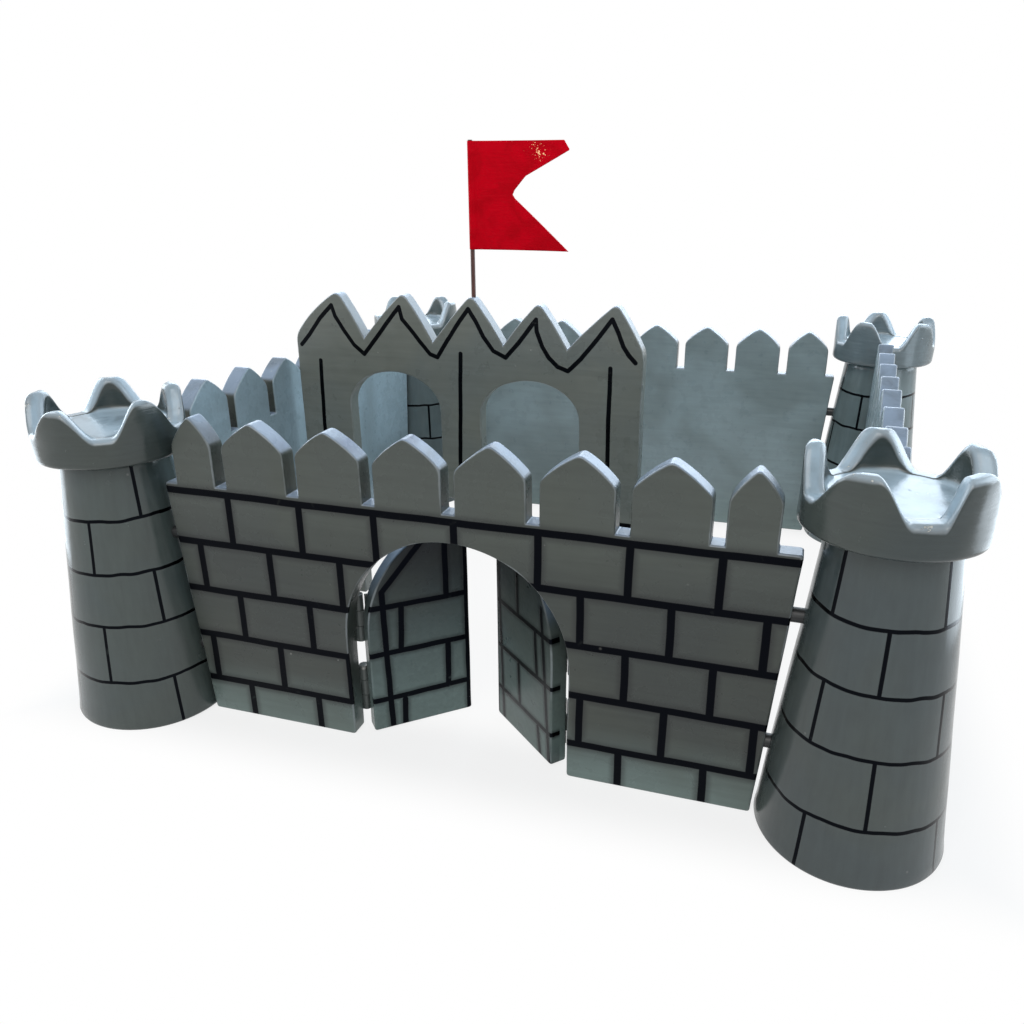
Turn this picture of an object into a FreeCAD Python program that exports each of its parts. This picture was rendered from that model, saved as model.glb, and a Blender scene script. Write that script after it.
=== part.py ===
"""A painted wooden toy castle: four turned towers, four walls, a pair of gate doors, an inner keep board and a flag."""
import FreeCAD, Part
import math
import os

from FreeCAD import Vector

# Towers: solid turned cones, placed by their axes. Plan values are measured from the middle of the front wall.
front_tower_spacing = 341.0
side_depth = 337.5
left_side_shortfall = 10.0
left_side_splay = 4.5
right_side_splay = 15.5
tower_base_radius = 37.3
tower_top_radius = 23.4
tower_height = 132.5
tower_shortfalls = {"front_left": 2.0}

# Tower caps: a flat dish with a wavy rim, held on a hidden dowel
cap_radius = 32.8
cap_height = 28.9
cap_floor_thickness = 13.0
cap_rim_thickness = 7.5
cap_edge_round = 2.5
cap_merlons = 5
cap_valley_lip = 0.4
cap_wave_power = 2.2
cap_wave_join = 0.4
cap_turns = {"front_left": 53.0, "front_right": 29.0, "back_right": 25.0, "back_left": 60.0}
cap_offsets = {"front_right": -1.6}
cap_dowel_radius = 4.75
cap_dowel_depth = 10.0

# Walls: boards cut along the top into pointed merlons
board = 9.5
notch_height = 119.5
shoulder_height = 138.3
peak_height = 151.0
merlon_width = 31.0
notch_width = 5.65
end_step = 6.4
least_merlon = 8.0
slope_bulge = 0.9
tower_gap_top = 5.0
tower_gap_bottom = 1.4
left_merlon_shift = 8.0
front_merlon_shift = -0.9
front_right_end_step = 9.2
spare_merlons = 2

# Pins that join each wall end to its tower
wall_pin_radius = 3.0
wall_pin_depth = 11.0
upper_pin_height = 93.0
lower_pin_height = 34.2
dowel_clearance = 0.05

# Gate: a round-headed opening and two doors that swing inwards
gate_width = 105.0
gate_spring_height = 54.0
gate_offset = -0.9
door_thickness = 8.5
hinge_side_gap = 1.6
meeting_gap = 2.4
door_floor_gap = 0.6
door_open_angle = 42.0

# Butt hinges, screwed to the backs of the wall and the doors
hinge_height = 24.0
leaf_width = 9.0
leaf_thickness = 1.0
knuckle_radius = 2.2
hinge_pin_radius = 1.15
pin_fit = 0.02
knuckle_fit = 0.06
knuckle_gap = 0.3
lower_hinge_base = 8.5
upper_hinge_base = 46.0
screw_shank_radius = 0.8
screw_head_radius = 1.7
screw_length = 5.5
screw_inset = 4.5
screw_edge_margin = 3.2
screw_fit = 0.02

# Keep board: it stands on its own two outer posts inside the court
keep_left_gap = 16.5
keep_width = 207.0
keep_setback = 140.0
keep_peak_height = 189.0
keep_valley_height = 164.2
keep_peaks = 5
keep_peak_pitch = 40.9
keep_first_peak = 29.0
keep_peak_leans = [0.0, 0.0, 0.0, -2.6, -0.9]
keep_valley_leans = [-5.0, -3.2, -2.3, -6.8]
keep_left_post = 33.0
keep_right_post = 34.5
keep_centre_post = 25.0
keep_spring_height = 125.0
keep_crown_height = 145.6
keep_centre_post_foot = 72.0
keep_tip_round = 3.0

# Flag: a strip folded round a thin stick
stick_radius = 1.2
stick_seat_depth = 12.0
stick_fit = 0.05
stick_top = 267.5
flag_height = 53.0
flag_length = 53.5
flag_notch_length = 22.0
flag_notch_height = 27.4
flag_upper_tip_drop = 5.0
flag_thickness = 0.8
flag_top_margin = 0.5

# Cuts run this far past the faces they open, and two places closer than the tolerance are one
past = 1.0
tolerance = 1e-3

up = Vector(0, 0, 1)


def tower_radius(height):
    """Radius of a tower's cone at a height above the ground."""
    return tower_base_radius + (tower_top_radius - tower_base_radius) * height / tower_height


def tower_top(name):
    """Height of a tower's top: one tower is a little shorter than the others."""
    return tower_height - tower_shortfalls.get(name, 0.0)


def axis_of(name):
    """Plan position of a tower's axis."""
    half = front_tower_spacing / 2
    axes = {
        "front_left": Vector(-half, 0, 0),
        "front_right": Vector(half, 0, 0),
        "back_right": Vector(half + right_side_splay, side_depth, 0),
        "back_left": Vector(-half + left_side_splay, side_depth - left_side_shortfall, 0),
    }
    return axes[name]


tower_names = ["front_left", "front_right", "back_right", "back_left"]

# The model's origin is under the middle of its overall box
plan_x = [axis_of(name).x for name in tower_names]
plan_y = [axis_of(name).y for name in tower_names]
centre = Vector((min(plan_x) + max(plan_x)) / 2, (min(plan_y) + max(plan_y)) / 2, 0)

# Each wall runs from its first tower to its second, with its outer face on the right-hand side
wall_ends = {
    "front": ("front_left", "front_right"),
    "right": ("front_right", "back_right"),
    "back": ("back_right", "back_left"),
    "left": ("back_left", "front_left"),
}
merlon_shift = {"front": front_merlon_shift, "right": 0.0, "back": 0.0, "left": left_merlon_shift}


def export(shape, node):
    """Move a finished shape to the model's origin and write it."""
    placed = shape.copy()
    placed.translate(centre * -1)
    placed.exportStep("parts/" + node + ".step")
    print(node, len(placed.Solids), round(placed.Volume, 1), placed.isValid())


def group(solids):
    """Several separate solids of one node."""
    return Part.makeCompound(solids)


def plate(wire, near, far):
    """A board cut to a wire drawn in X and Z, between two Y values."""
    face = Part.Face(wire)
    face.translate(Vector(0, near, 0))
    return face.extrude(Vector(0, far - near, 0))


def cylinder(radius, start, end):
    """A round bar between two points."""
    run = end - start
    return Part.makeCylinder(radius, run.Length, start, run)


def bulged(start, end, bulge):
    """An arc from one point to the next that stands out to the left by the bulge."""
    run = end - start
    side = Vector(-run.z, 0, run.x).normalize()
    middle = (start + end) * 0.5 + side * bulge
    return Part.Arc(start, middle, end).toShape()


def polyline(points):
    """Straight edges through the points."""
    return [Part.LineSegment(a, b).toShape() for a, b in zip(points, points[1:])]


# Walls

def wall_length(side):
    """Distance between the axes of the towers that a wall joins."""
    first, second = wall_ends[side]
    return (axis_of(second) - axis_of(first)).Length


def wall_half_top(side):
    """Half the wall's length at the height of its notches."""
    return wall_length(side) / 2 - tower_radius(notch_height) - tower_gap_top


def wall_half_bottom(side):
    """Half the wall's length on the ground."""
    return wall_length(side) / 2 - tower_base_radius - tower_gap_bottom


def merlon_spans(side):
    """Left and right edge of each merlon, laid out from the wall's middle and trimmed at its ends."""
    left_limit = end_step - wall_half_top(side)
    right_limit = wall_half_top(side) - (front_right_end_step if side == "front" else end_step)
    pitch = merlon_width + notch_width
    shift = merlon_shift[side]
    reach = int(right_limit / pitch) + spare_merlons
    spans = []
    for step in range(-reach, reach + 1):
        middle = shift + (step + 0.5) * pitch
        low = max(middle - merlon_width / 2, left_limit)
        high = min(middle + merlon_width / 2, right_limit)
        if high - low >= least_merlon:
            spans.append((low, high))
    return spans


def wall_blank(side):
    """One wall board in its own frame: X along the wall, Y through it, its middle at the origin."""
    top = wall_half_top(side)
    bottom = wall_half_bottom(side)
    here = Vector(bottom, 0, 0)
    edges = []
    stops = [here, Vector(top, 0, notch_height)]
    for low, high in reversed(merlon_spans(side)):
        middle = (low + high) / 2
        stops.append(Vector(high, 0, notch_height))
        stops.append(Vector(high, 0, shoulder_height))
        edges += polyline(stops)
        peak = Vector(middle, 0, peak_height)
        edges.append(bulged(peak, stops[-1], slope_bulge))
        edges.append(bulged(Vector(low, 0, shoulder_height), peak, slope_bulge))
        stops = [Vector(low, 0, shoulder_height), Vector(low, 0, notch_height)]
    stops += [Vector(-top, 0, notch_height), Vector(-bottom, 0, 0), here]
    edges += polyline(stops)
    wire = Part.Wire(Part.__sortEdges__(edges))
    return plate(wire, -board / 2, board / 2)


def place_wall(shape, side):
    """Turn a shape from a wall's own frame to its place between its towers."""
    first, second = wall_ends[side]
    start = axis_of(first)
    end = axis_of(second)
    placed = shape.copy()
    placed.rotate(Vector(0, 0, 0), up, math.degrees(math.atan2(end.y - start.y, end.x - start.x)))
    placed.translate((start + end) * 0.5)
    return placed


def wall_end(side, height):
    """Half the wall's length at a height below its notches."""
    share = height / notch_height
    return wall_half_bottom(side) + (wall_half_top(side) - wall_half_bottom(side)) * share


def wall_pins(side, radius, extra):
    """The four pins of a wall in its own frame, or their holes when made wider and longer."""
    pins = []
    for height in (lower_pin_height, upper_pin_height):
        inner = wall_end(side, height) - wall_pin_depth - extra
        outer = wall_length(side) / 2 - tower_radius(height) + wall_pin_depth + extra
        for way in (-1, 1):
            pins.append(cylinder(radius, Vector(way * inner, 0, height), Vector(way * outer, 0, height)))
    return pins


def pin_holes(side):
    """Holes for a wall's pins, in the castle's frame."""
    holes = wall_pins(side, wall_pin_radius + dowel_clearance, dowel_clearance)
    return [place_wall(hole, side) for hole in holes]


def arch_wire(left, right, spring, crown, floor):
    """A round-headed outline: straight sides up to the spring, then half an ellipse to the crown."""
    middle = (left + right) / 2
    half = (right - left) / 2
    rise = crown - spring
    side_up = Vector(left, 0, spring)
    side_down = Vector(right, 0, spring)
    if abs(rise - half) < tolerance:
        head = Part.Arc(side_up, Vector(middle, 0, crown), side_down).toShape()
    else:
        major = Vector(right, 0, spring) if half > rise else Vector(middle, 0, crown)
        minor = Vector(middle, 0, crown) if half > rise else Vector(right, 0, spring)
        curve = Part.Ellipse(major, minor, Vector(middle, 0, spring))
        ends = sorted([curve.parameter(side_down), curve.parameter(side_up)])
        head = curve.toShape(ends[0], ends[1])
        if head.valueAt((ends[0] + ends[1]) / 2).z < spring:
            head = curve.toShape(ends[1], ends[0] + 2 * math.pi)
    legs = polyline([side_down, Vector(right, 0, floor), Vector(left, 0, floor), side_up])
    return Part.Wire(Part.__sortEdges__([head] + legs))


gate_left = gate_offset - gate_width / 2
gate_right = gate_offset + gate_width / 2
gate_crown = gate_spring_height + gate_width / 2


def build_walls():
    """The four walls, with the gate and the pin holes cut, and with pilot holes for the hinge screws."""
    walls = {}
    for side in wall_ends:
        wall = place_wall(wall_blank(side), side).cut(group(pin_holes(side)))
        if side == "front":
            gate = plate(
                arch_wire(gate_left, gate_right, gate_spring_height, gate_crown, -past),
                -board / 2 - past, board / 2 + past)
            wall = wall.cut(gate).cut(group(screw_holes("wall")))
        walls[side] = wall.Solids[0]
    return walls


# Hinges: each is drawn for the left door when closed, about its own pin, and then mirrored or swung

pivot_y = board / 2 + knuckle_radius
pivot_x = {"left": gate_left + hinge_side_gap / 2, "right": gate_right - hinge_side_gap / 2}
hinge_bases = {"lower": lower_hinge_base, "upper": upper_hinge_base}
back_face = -knuckle_radius
knuckle_run = (hinge_height - 2 * knuckle_gap) / 3


def knuckles(which):
    """Bottom and top of the knuckles of one leaf: two at the ends for the wall, one between for the door."""
    middle_low = knuckle_run + knuckle_gap
    middle_high = middle_low + knuckle_run
    if which == "door":
        return [(middle_low, middle_high)]
    return [(0.0, knuckle_run), (middle_high + knuckle_gap, hinge_height)]


def leaf(which, base):
    """A hinge leaf about its pin: a flat plate joined tangentially to its knuckles."""
    way = 1 if which == "door" else -1
    bore = hinge_pin_radius + (knuckle_fit if which == "door" else pin_fit)
    edge = hinge_side_gap / 2
    inner = min(0.0, way * (edge + leaf_width))
    flat = Part.makeBox(edge + leaf_width, leaf_thickness, hinge_height, Vector(inner, back_face, base))
    clear = knuckle_radius + knuckle_gap
    flat = flat.cut(Part.makeBox(2 * clear, 2 * clear, hinge_height, Vector(-clear, -clear, base)))
    parts = [flat]
    for low, high in knuckles(which):
        run = high - low
        parts.append(Part.makeCylinder(knuckle_radius, run, Vector(0, 0, base + low)))
        corner = min(0.0, way * (clear + leaf_thickness))
        parts.append(Part.makeBox(clear + leaf_thickness, leaf_thickness, run, Vector(corner, back_face, base + low)))
    shape = parts[0].multiFuse(parts[1:])
    shape = shape.cut(Part.makeCylinder(bore, hinge_height, Vector(0, 0, base)))
    return shape.cut(group(screws(which, base, screw_fit))).removeSplitter()


def screws(which, base, extra):
    """Two countersunk screws of a leaf, about its pin, or their holes when made wider by the extra."""
    way = 1 if which == "door" else -1
    across = way * (hinge_side_gap / 2 + leaf_width - screw_edge_margin)
    surface = back_face + leaf_thickness
    pieces = []
    for height in (screw_inset, hinge_height - screw_inset):
        top = Vector(across, surface, base + height)
        head = Part.makeCone(
            screw_head_radius + extra, screw_shank_radius + extra,
            leaf_thickness, top, Vector(0, -1, 0))
        shank = Part.makeCylinder(screw_shank_radius + extra, screw_length + extra, top, Vector(0, -1, 0))
        pieces.append(head.fuse(shank).removeSplitter())
    return pieces


def swing(shape, hand, moving):
    """Carry a left-hand piece from its pin to the gate, mirrored for the right, swung if it is on the door."""
    placed = shape.copy()
    if moving:
        placed.rotate(Vector(0, 0, 0), up, door_open_angle)
    if hand == "right":
        placed = placed.mirror(Vector(0, 0, 0), Vector(1, 0, 0))
    placed.translate(Vector(pivot_x[hand], pivot_y, 0))
    return placed


def screw_holes(which):
    """Pilot holes in the front wall, in the castle's frame."""
    holes = []
    for hand in ("left", "right"):
        for base in hinge_bases.values():
            for piece in screws(which, base, screw_fit):
                holes.append(swing(piece, hand, False))
    return holes


def hinge_pin(base):
    """The hinge's pin, about its own axis."""
    return Part.makeCylinder(hinge_pin_radius, hinge_height, Vector(0, 0, base))


def door_panel():
    """The left door when closed, about its hinge pin: half of the gate's head, less the running gaps."""
    width = (gate_width - 2 * hinge_side_gap - meeting_gap) / 2
    near = hinge_side_gap / 2
    far = near + width
    radius = gate_width / 2 - hinge_side_gap
    middle = far + meeting_gap / 2
    meeting_top = gate_spring_height + math.sqrt(radius ** 2 - (middle - far) ** 2)
    turn = math.acos((middle - far) / radius) / 2 + math.pi / 2
    halfway = Vector(middle + radius * math.cos(turn), 0, gate_spring_height + radius * math.sin(turn))
    shoulder = Vector(near, 0, gate_spring_height)
    tip = Vector(far, 0, meeting_top)
    edges = [Part.Arc(shoulder, halfway, tip).toShape()]
    edges += polyline([tip, Vector(far, 0, door_floor_gap), Vector(near, 0, door_floor_gap), shoulder])
    panel = plate(Part.Wire(Part.__sortEdges__(edges)), back_face - door_thickness, back_face)
    pilot = [piece for base in hinge_bases.values() for piece in screws("door", base, screw_fit)]
    return panel.cut(group(pilot))


# Towers and caps

def build_tower(name):
    """A tapered tower with the holes for its wall pins and its cap's dowel."""
    axis = axis_of(name)
    body = Part.makeCone(tower_base_radius, tower_radius(tower_top(name)), tower_top(name), axis)
    holes = []
    for side, ends in wall_ends.items():
        if name in ends:
            holes += pin_holes(side)
    depth = cap_dowel_depth + dowel_clearance
    seat = axis + Vector(0, 0, tower_top(name) - depth)
    holes.append(Part.makeCylinder(cap_dowel_radius + dowel_clearance, depth, seat))
    return body.cut(group(holes)).Solids[0]


half_valley = math.pi / cap_merlons


def wave_point(share):
    """A point on a cap's wavy edge, at a share of the way from a valley's middle to the merlon beside it."""
    low = cap_floor_thickness + cap_valley_lip
    wave = math.sin(math.pi / 2 * abs(share)) ** cap_wave_power
    across = cap_radius * math.sin(half_valley) * share
    return Vector(0, across, low + (cap_height - low) * wave)


def valley_cutter():
    """The space between two merlons of a cap: a hollow arc and two full ones, swept outwards."""
    join = cap_wave_join
    flank = (1 + join) / 2
    stops = [wave_point(share) for share in (-1, -flank, -join, 0, join, flank, 1)]
    edges = [Part.Arc(*stops[first:first + 3]).toShape() for first in (0, 2, 4)]
    lift = Vector(0, 0, past)
    edges += polyline([stops[-1], stops[-1] + lift, stops[0] + lift, stops[0]])
    face = Part.Face(Part.Wire(Part.__sortEdges__(edges)))
    inner = (cap_radius - cap_rim_thickness) * math.cos(half_valley) - past
    face.translate(Vector(inner, 0, 0))
    return face.extrude(Vector(cap_radius + past - inner, 0, 0))


def build_cap(name):
    """A turned dish with a wavy rim of merlons and a blind hole for its dowel."""
    floor = cap_floor_thickness
    inner = cap_radius - cap_rim_thickness
    rounding = cap_edge_round
    low = Vector(cap_radius - rounding, 0, 0)
    side = Vector(cap_radius, 0, rounding)
    lean = rounding * (1 - math.sqrt(0.5))
    belly = Vector(cap_radius - lean, 0, lean)
    edges = [Part.Arc(low, belly, side).toShape()]
    edges += polyline([
        side, Vector(cap_radius, 0, cap_height), Vector(inner, 0, cap_height),
        Vector(inner, 0, floor), Vector(0, 0, floor), Vector(0, 0, 0), low])
    face = Part.Face(Part.Wire(Part.__sortEdges__(edges)))
    dish = face.revolve(Vector(0, 0, 0), up, 360)
    cutter = valley_cutter()
    cuts = []
    for index in range(cap_merlons):
        tool = cutter.copy()
        tool.rotate(Vector(0, 0, 0), up, (index + 0.5) * 360 / cap_merlons)
        cuts.append(tool)
    dish = dish.cut(group(cuts)).Solids[0]
    dish.rotate(Vector(0, 0, 0), up, cap_turns[name])
    dish.translate(Vector(cap_offsets.get(name, 0.0), 0, 0))
    hole = Part.makeCylinder(cap_dowel_radius + dowel_clearance, cap_dowel_depth + dowel_clearance)
    dish = dish.cut(hole).Solids[0]
    dish.translate(axis_of(name) + Vector(0, 0, tower_top(name)))
    return dish


def build_cap_dowels():
    """One dowel under each cap, half in the tower and half in the cap."""
    dowels = []
    for name in tower_names:
        foot = axis_of(name) + Vector(0, 0, tower_top(name) - cap_dowel_depth)
        dowels.append(Part.makeCylinder(cap_dowel_radius, 2 * cap_dowel_depth, foot))
    return group(dowels)


# Keep board and flag

keep_left_edge = axis_of("front_left").x + keep_left_gap
keep_front = keep_setback - board / 2
keep_back = keep_front + board
keep_right_edge = keep_left_edge + keep_width
flag_peak = keep_left_edge + keep_first_peak + (keep_peaks // 2) * keep_peak_pitch


def build_keep():
    """The inner board: pointed peaks, two round-headed openings, two legs and a short post between them."""
    left = keep_left_edge
    right = keep_right_edge
    stops = [Vector(left, 0, 0), Vector(left, 0, keep_valley_height)]
    for index in range(keep_peaks):
        peak = left + keep_first_peak + index * keep_peak_pitch
        stops.append(Vector(peak + keep_peak_leans[index], 0, keep_peak_height))
        if index < keep_peaks - 1:
            valley = peak + keep_peak_pitch / 2 + keep_valley_leans[index]
            stops.append(Vector(valley, 0, keep_valley_height))
    stops += [Vector(right, 0, keep_valley_height), Vector(right, 0, 0), Vector(left, 0, 0)]
    body = plate(Part.Wire(polyline(stops)), keep_front, keep_back)
    tips = [edge for edge in body.Edges if is_tip(edge)]
    body = body.makeFillet(keep_tip_round, tips)
    middle = left + keep_left_post + (keep_width - keep_left_post - keep_right_post) / 2
    spans = [
        (left + keep_left_post, middle - keep_centre_post / 2),
        (middle + keep_centre_post / 2, right - keep_right_post),
    ]
    cuts = []
    for low, high in spans:
        wire = arch_wire(low, high, keep_spring_height, keep_crown_height, -past)
        cuts.append(plate(wire, keep_front - past, keep_back + past))
    cuts.append(Part.makeBox(
        keep_centre_post + 2 * past, board + 2 * past, keep_centre_post_foot + past,
        Vector(middle - keep_centre_post / 2 - past, keep_front - past, -past)))
    seat = Vector(flag_peak, keep_setback, keep_peak_height - stick_seat_depth - stick_fit)
    cuts.append(Part.makeCylinder(stick_radius + stick_fit, stick_seat_depth + past, seat))
    for cut in cuts:
        body = body.cut(cut)
    return body.Solids[0]


def is_tip(edge):
    """Whether an edge is the crest of one of the keep's peaks."""
    if len(edge.Vertexes) != 2:
        return False
    first, second = [vertex.Point for vertex in edge.Vertexes]
    level = min(first.z, second.z)
    return level > keep_peak_height - tolerance and abs(first.x - second.x) < tolerance


def build_flagpole():
    """The stick that stands in the keep's middle peak."""
    foot = Vector(flag_peak, keep_setback, keep_peak_height - stick_seat_depth)
    return cylinder(stick_radius, foot, Vector(flag_peak, keep_setback, stick_top))


def build_flag():
    """The folded strip: a sleeve round the stick and a swallow-tailed fly, cut a little lower at its upper tip."""
    top = stick_top - flag_top_margin
    bottom = top - flag_height
    bore = stick_radius + stick_fit
    sleeve = Part.makeCylinder(bore + flag_thickness / 2, flag_height, Vector(flag_peak, keep_setback, bottom))
    tip = flag_peak + flag_length
    notch = Vector(flag_peak + flag_notch_length, 0, bottom + flag_notch_height)
    stops = [
        Vector(flag_peak, 0, bottom), Vector(tip, 0, bottom), notch,
        Vector(tip, 0, top - flag_upper_tip_drop), Vector(tip - flag_upper_tip_drop, 0, top),
        Vector(flag_peak, 0, top), Vector(flag_peak, 0, bottom)]
    fly = plate(Part.Wire(polyline(stops)), keep_setback - flag_thickness / 2, keep_setback + flag_thickness / 2)
    hole = Part.makeCylinder(bore, flag_height + 2 * past, Vector(flag_peak, keep_setback, bottom - past))
    return sleeve.fuse(fly).cut(hole).removeSplitter()


def main():
    """Write every piece of the castle."""
    os.makedirs("parts", exist_ok=True)
    for side, wall in build_walls().items():
        export(wall, side + "_wall")
        pins = [place_wall(pin, side) for pin in wall_pins(side, wall_pin_radius, 0.0)]
        export(group(pins), "wall_pins_" + side)
    for name in tower_names:
        export(build_tower(name), "tower_" + name)
        export(build_cap(name), "cap_" + name)
    export(build_cap_dowels(), "cap_dowels")
    wall_screws = []
    for hand in ("left", "right"):
        export(swing(door_panel(), hand, True), "gate_door_" + hand)
        door_screws = []
        for level, base in hinge_bases.items():
            stem = "hinge_" + hand + "_" + level
            export(swing(leaf("wall", base), hand, False), stem + "_wall_leaf")
            export(swing(leaf("door", base), hand, True), stem + "_door_leaf")
            export(swing(hinge_pin(base), hand, False), stem + "_pin")
            door_screws += [swing(piece, hand, True) for piece in screws("door", base, 0.0)]
            wall_screws += [swing(piece, hand, False) for piece in screws("wall", base, 0.0)]
        export(group(door_screws), "door_screws_" + hand)
    export(group(wall_screws), "wall_screws")
    export(build_keep(), "keep_board")
    export(build_flagpole(), "flagpole")
    export(build_flag(), "flag")


main()
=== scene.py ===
"""Looks of a painted wooden toy castle.

Four turned towers with wavy caps, four sawn walls with pointed merlons, a pair of gate doors, an inner
keep board and a folded tape flag. All but the flag and its stick is brushed with grey gloss enamel, and
the brickwork is drawn on in black. The sizes are in millimetres in the classes below and become metres
where the meshes are made.
"""
from __future__ import annotations

import logging
import math
from dataclasses import dataclass, field
from enum import Enum
from typing import Callable, Sequence

import bmesh
import bpy
import numpy as np
from mathutils import Matrix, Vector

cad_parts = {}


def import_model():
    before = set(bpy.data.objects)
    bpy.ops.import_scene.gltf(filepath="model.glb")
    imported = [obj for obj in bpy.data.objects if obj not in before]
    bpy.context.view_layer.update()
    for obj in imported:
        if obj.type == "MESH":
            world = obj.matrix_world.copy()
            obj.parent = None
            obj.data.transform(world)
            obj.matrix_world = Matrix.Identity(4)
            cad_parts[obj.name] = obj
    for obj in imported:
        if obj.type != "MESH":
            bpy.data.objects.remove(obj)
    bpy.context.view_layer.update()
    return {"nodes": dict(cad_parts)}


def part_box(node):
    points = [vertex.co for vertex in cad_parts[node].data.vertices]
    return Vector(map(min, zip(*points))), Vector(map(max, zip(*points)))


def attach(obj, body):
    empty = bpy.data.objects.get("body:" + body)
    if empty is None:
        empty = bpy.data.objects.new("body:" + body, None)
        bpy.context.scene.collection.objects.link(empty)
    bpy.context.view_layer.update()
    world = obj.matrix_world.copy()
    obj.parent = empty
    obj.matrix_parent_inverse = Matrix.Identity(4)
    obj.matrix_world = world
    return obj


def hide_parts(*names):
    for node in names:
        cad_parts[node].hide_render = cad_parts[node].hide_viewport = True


log = logging.getLogger("toy_castle")

MM = 0.001
WELD_DISTANCE = 0.00001
Colour = tuple[float, float, float]
Tone = tuple[float, float, float, float]
Inputs = dict[int | str, object]
Socket = bpy.types.NodeSocket


def linear(red: float, green: float, blue: float) -> Tone:
    """Turn a display colour of 0 to 255 into the linear colour that a shader takes.

    Args:
        red: Red, 0 to 255.
        green: Green, 0 to 255.
        blue: Blue, 0 to 255.

    Returns:
        The linear colour, with an alpha of 1.
    """
    shares = np.array([red, green, blue]) / 255.0
    curve = np.where(shares <= 0.04045, shares / 12.92, ((shares + 0.055) / 1.055) ** 2.4)
    return (float(curve[0]), float(curve[1]), float(curve[2]), 1.0)


# Meshes: outlines, rings and grids, all worked out as whole arrays


def wobble(points: np.ndarray, length: float, seed: float) -> np.ndarray:
    """Smooth hand-made unevenness, as a sum of four sine waves along different directions.

    Args:
        points: Places, one row each, in millimetres.
        length: The wave's length in millimetres.
        seed: Shifts the waves, so that no two pieces are alike.

    Returns:
        One value for each point, from about -1 to 1.
    """
    flat = np.zeros((len(points), 3))
    flat[:, : points.shape[1]] = points
    turns = 2 * math.pi / length
    waves = [
        np.sin(turns * (0.91 * flat[:, 0] + 0.37 * flat[:, 1] + 0.53 * flat[:, 2]) + 1.7 * seed),
        np.sin(turns * (-0.58 * flat[:, 0] + 0.83 * flat[:, 1] + 0.71 * flat[:, 2]) + 2.9 * seed),
        np.sin(turns * 1.9 * (0.44 * flat[:, 0] - 0.62 * flat[:, 1] + 0.86 * flat[:, 2]) + 4.3 * seed),
        np.sin(turns * 2.3 * (0.77 * flat[:, 0] + 0.51 * flat[:, 1] - 0.39 * flat[:, 2]) + 5.1 * seed),
    ]
    return (waves[0] + waves[1] + 0.5 * waves[2] + 0.5 * waves[3]) / 3.0


def grid_faces(rows: int, columns: int, closed: bool) -> np.ndarray:
    """Number the four corners of each face of a grid whose vertices are stored row by row.

    Args:
        rows: Number of rows.
        columns: Number of vertices in a row.
        closed: Whether the last row is joined to the first.

    Returns:
        One row of four vertex numbers for each face.
    """
    index = np.arange(rows * columns).reshape(rows, columns)
    after = np.roll(index, -1, axis=0)
    if not closed:
        index = index[:-1]
        after = after[:-1]
    corners = [index[:, :-1], index[:, 1:], after[:, 1:], after[:, :-1]]
    return np.stack(corners, axis=-1).reshape(-1, 4)


@dataclass
class Shape:
    """A mesh in the making: vertices in millimetres, faces, and what its material reads from each vertex."""

    vertices: np.ndarray
    faces: list[np.ndarray]
    normals: np.ndarray | None = None
    vectors: dict[str, np.ndarray] = field(default_factory=dict)
    values: dict[str, np.ndarray] = field(default_factory=dict)

    def turned(self, degrees: float, place: Sequence[float]) -> "Shape":
        """Turn the shape about the vertical axis and carry it to its place.

        Args:
            degrees: Turn, anticlockwise from above.
            place: Where the shape's own origin goes, in millimetres.

        Returns:
            The shape itself.
        """
        turn = math.radians(degrees)
        first = [math.cos(turn), math.sin(turn), 0]
        second = [-math.sin(turn), math.cos(turn), 0]
        matrix = np.array([first, second, [0, 0, 1]])
        self.vertices = self.vertices @ matrix + np.asarray(place, dtype=float)
        if self.normals is not None:
            self.normals = self.normals @ matrix
        return self

    def piece(self, name: str, material: bpy.types.Material) -> bpy.types.Object:
        """Put the shape into a new object at the origin, in metres.

        Args:
            name: The object's name.
            material: Its finish.

        Returns:
            The new object, linked to the scene.
        """
        mesh = bpy.data.meshes.new(name)
        faces = [face for block in self.faces for face in block.tolist()]
        mesh.from_pydata((self.vertices * MM).tolist(), [], faces)
        for key, rows in self.vectors.items():
            layer = mesh.attributes.new(key, "FLOAT_VECTOR", "POINT")
            layer.data.foreach_set("vector", np.ascontiguousarray(rows, dtype=np.float32).ravel())
        for key, row in self.values.items():
            layer = mesh.attributes.new(key, "FLOAT", "POINT")
            layer.data.foreach_set("value", np.ascontiguousarray(row, dtype=np.float32))
        mesh.polygons.foreach_set("use_smooth", np.ones(len(mesh.polygons), dtype=bool))
        mesh.update()
        if self.normals is not None:
            mesh.normals_split_custom_set_from_vertices(self.normals.tolist())
        mesh.materials.append(material)
        made = bpy.data.objects.new(name, mesh)
        bpy.context.scene.collection.objects.link(made)
        return made


@dataclass
class Outline:
    """A board's closed outline, anticlockwise from the front: corners, and how much of each is rounded."""

    corners: list[tuple[float, float]] = field(default_factory=list)
    cuts: list[float] = field(default_factory=list)

    def add(self, across: float, height: float, cut: float = 0.6) -> "Outline":
        """Add a corner.

        Args:
            across: Place along the board.
            height: Height above the ground.
            cut: Distance from the corner at which its rounding starts.

        Returns:
            The outline itself.
        """
        self.corners.append((across, height))
        self.cuts.append(cut)
        return self

    def curve(self, places: np.ndarray) -> "Outline":
        """Add points of a curve, each rounded off to the middle of the runs beside it.

        Args:
            places: The points, one row each.

        Returns:
            The outline itself.
        """
        self.corners += [(float(place[0]), float(place[1])) for place in places]
        self.cuts += [math.inf] * len(places)
        return self

    def mirrored(self) -> "Outline":
        """The same outline seen from behind: left and right swapped, and the order reversed."""
        swapped = [(-across, height) for across, height in reversed(self.corners)]
        return Outline(swapped, list(reversed(self.cuts)))


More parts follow.
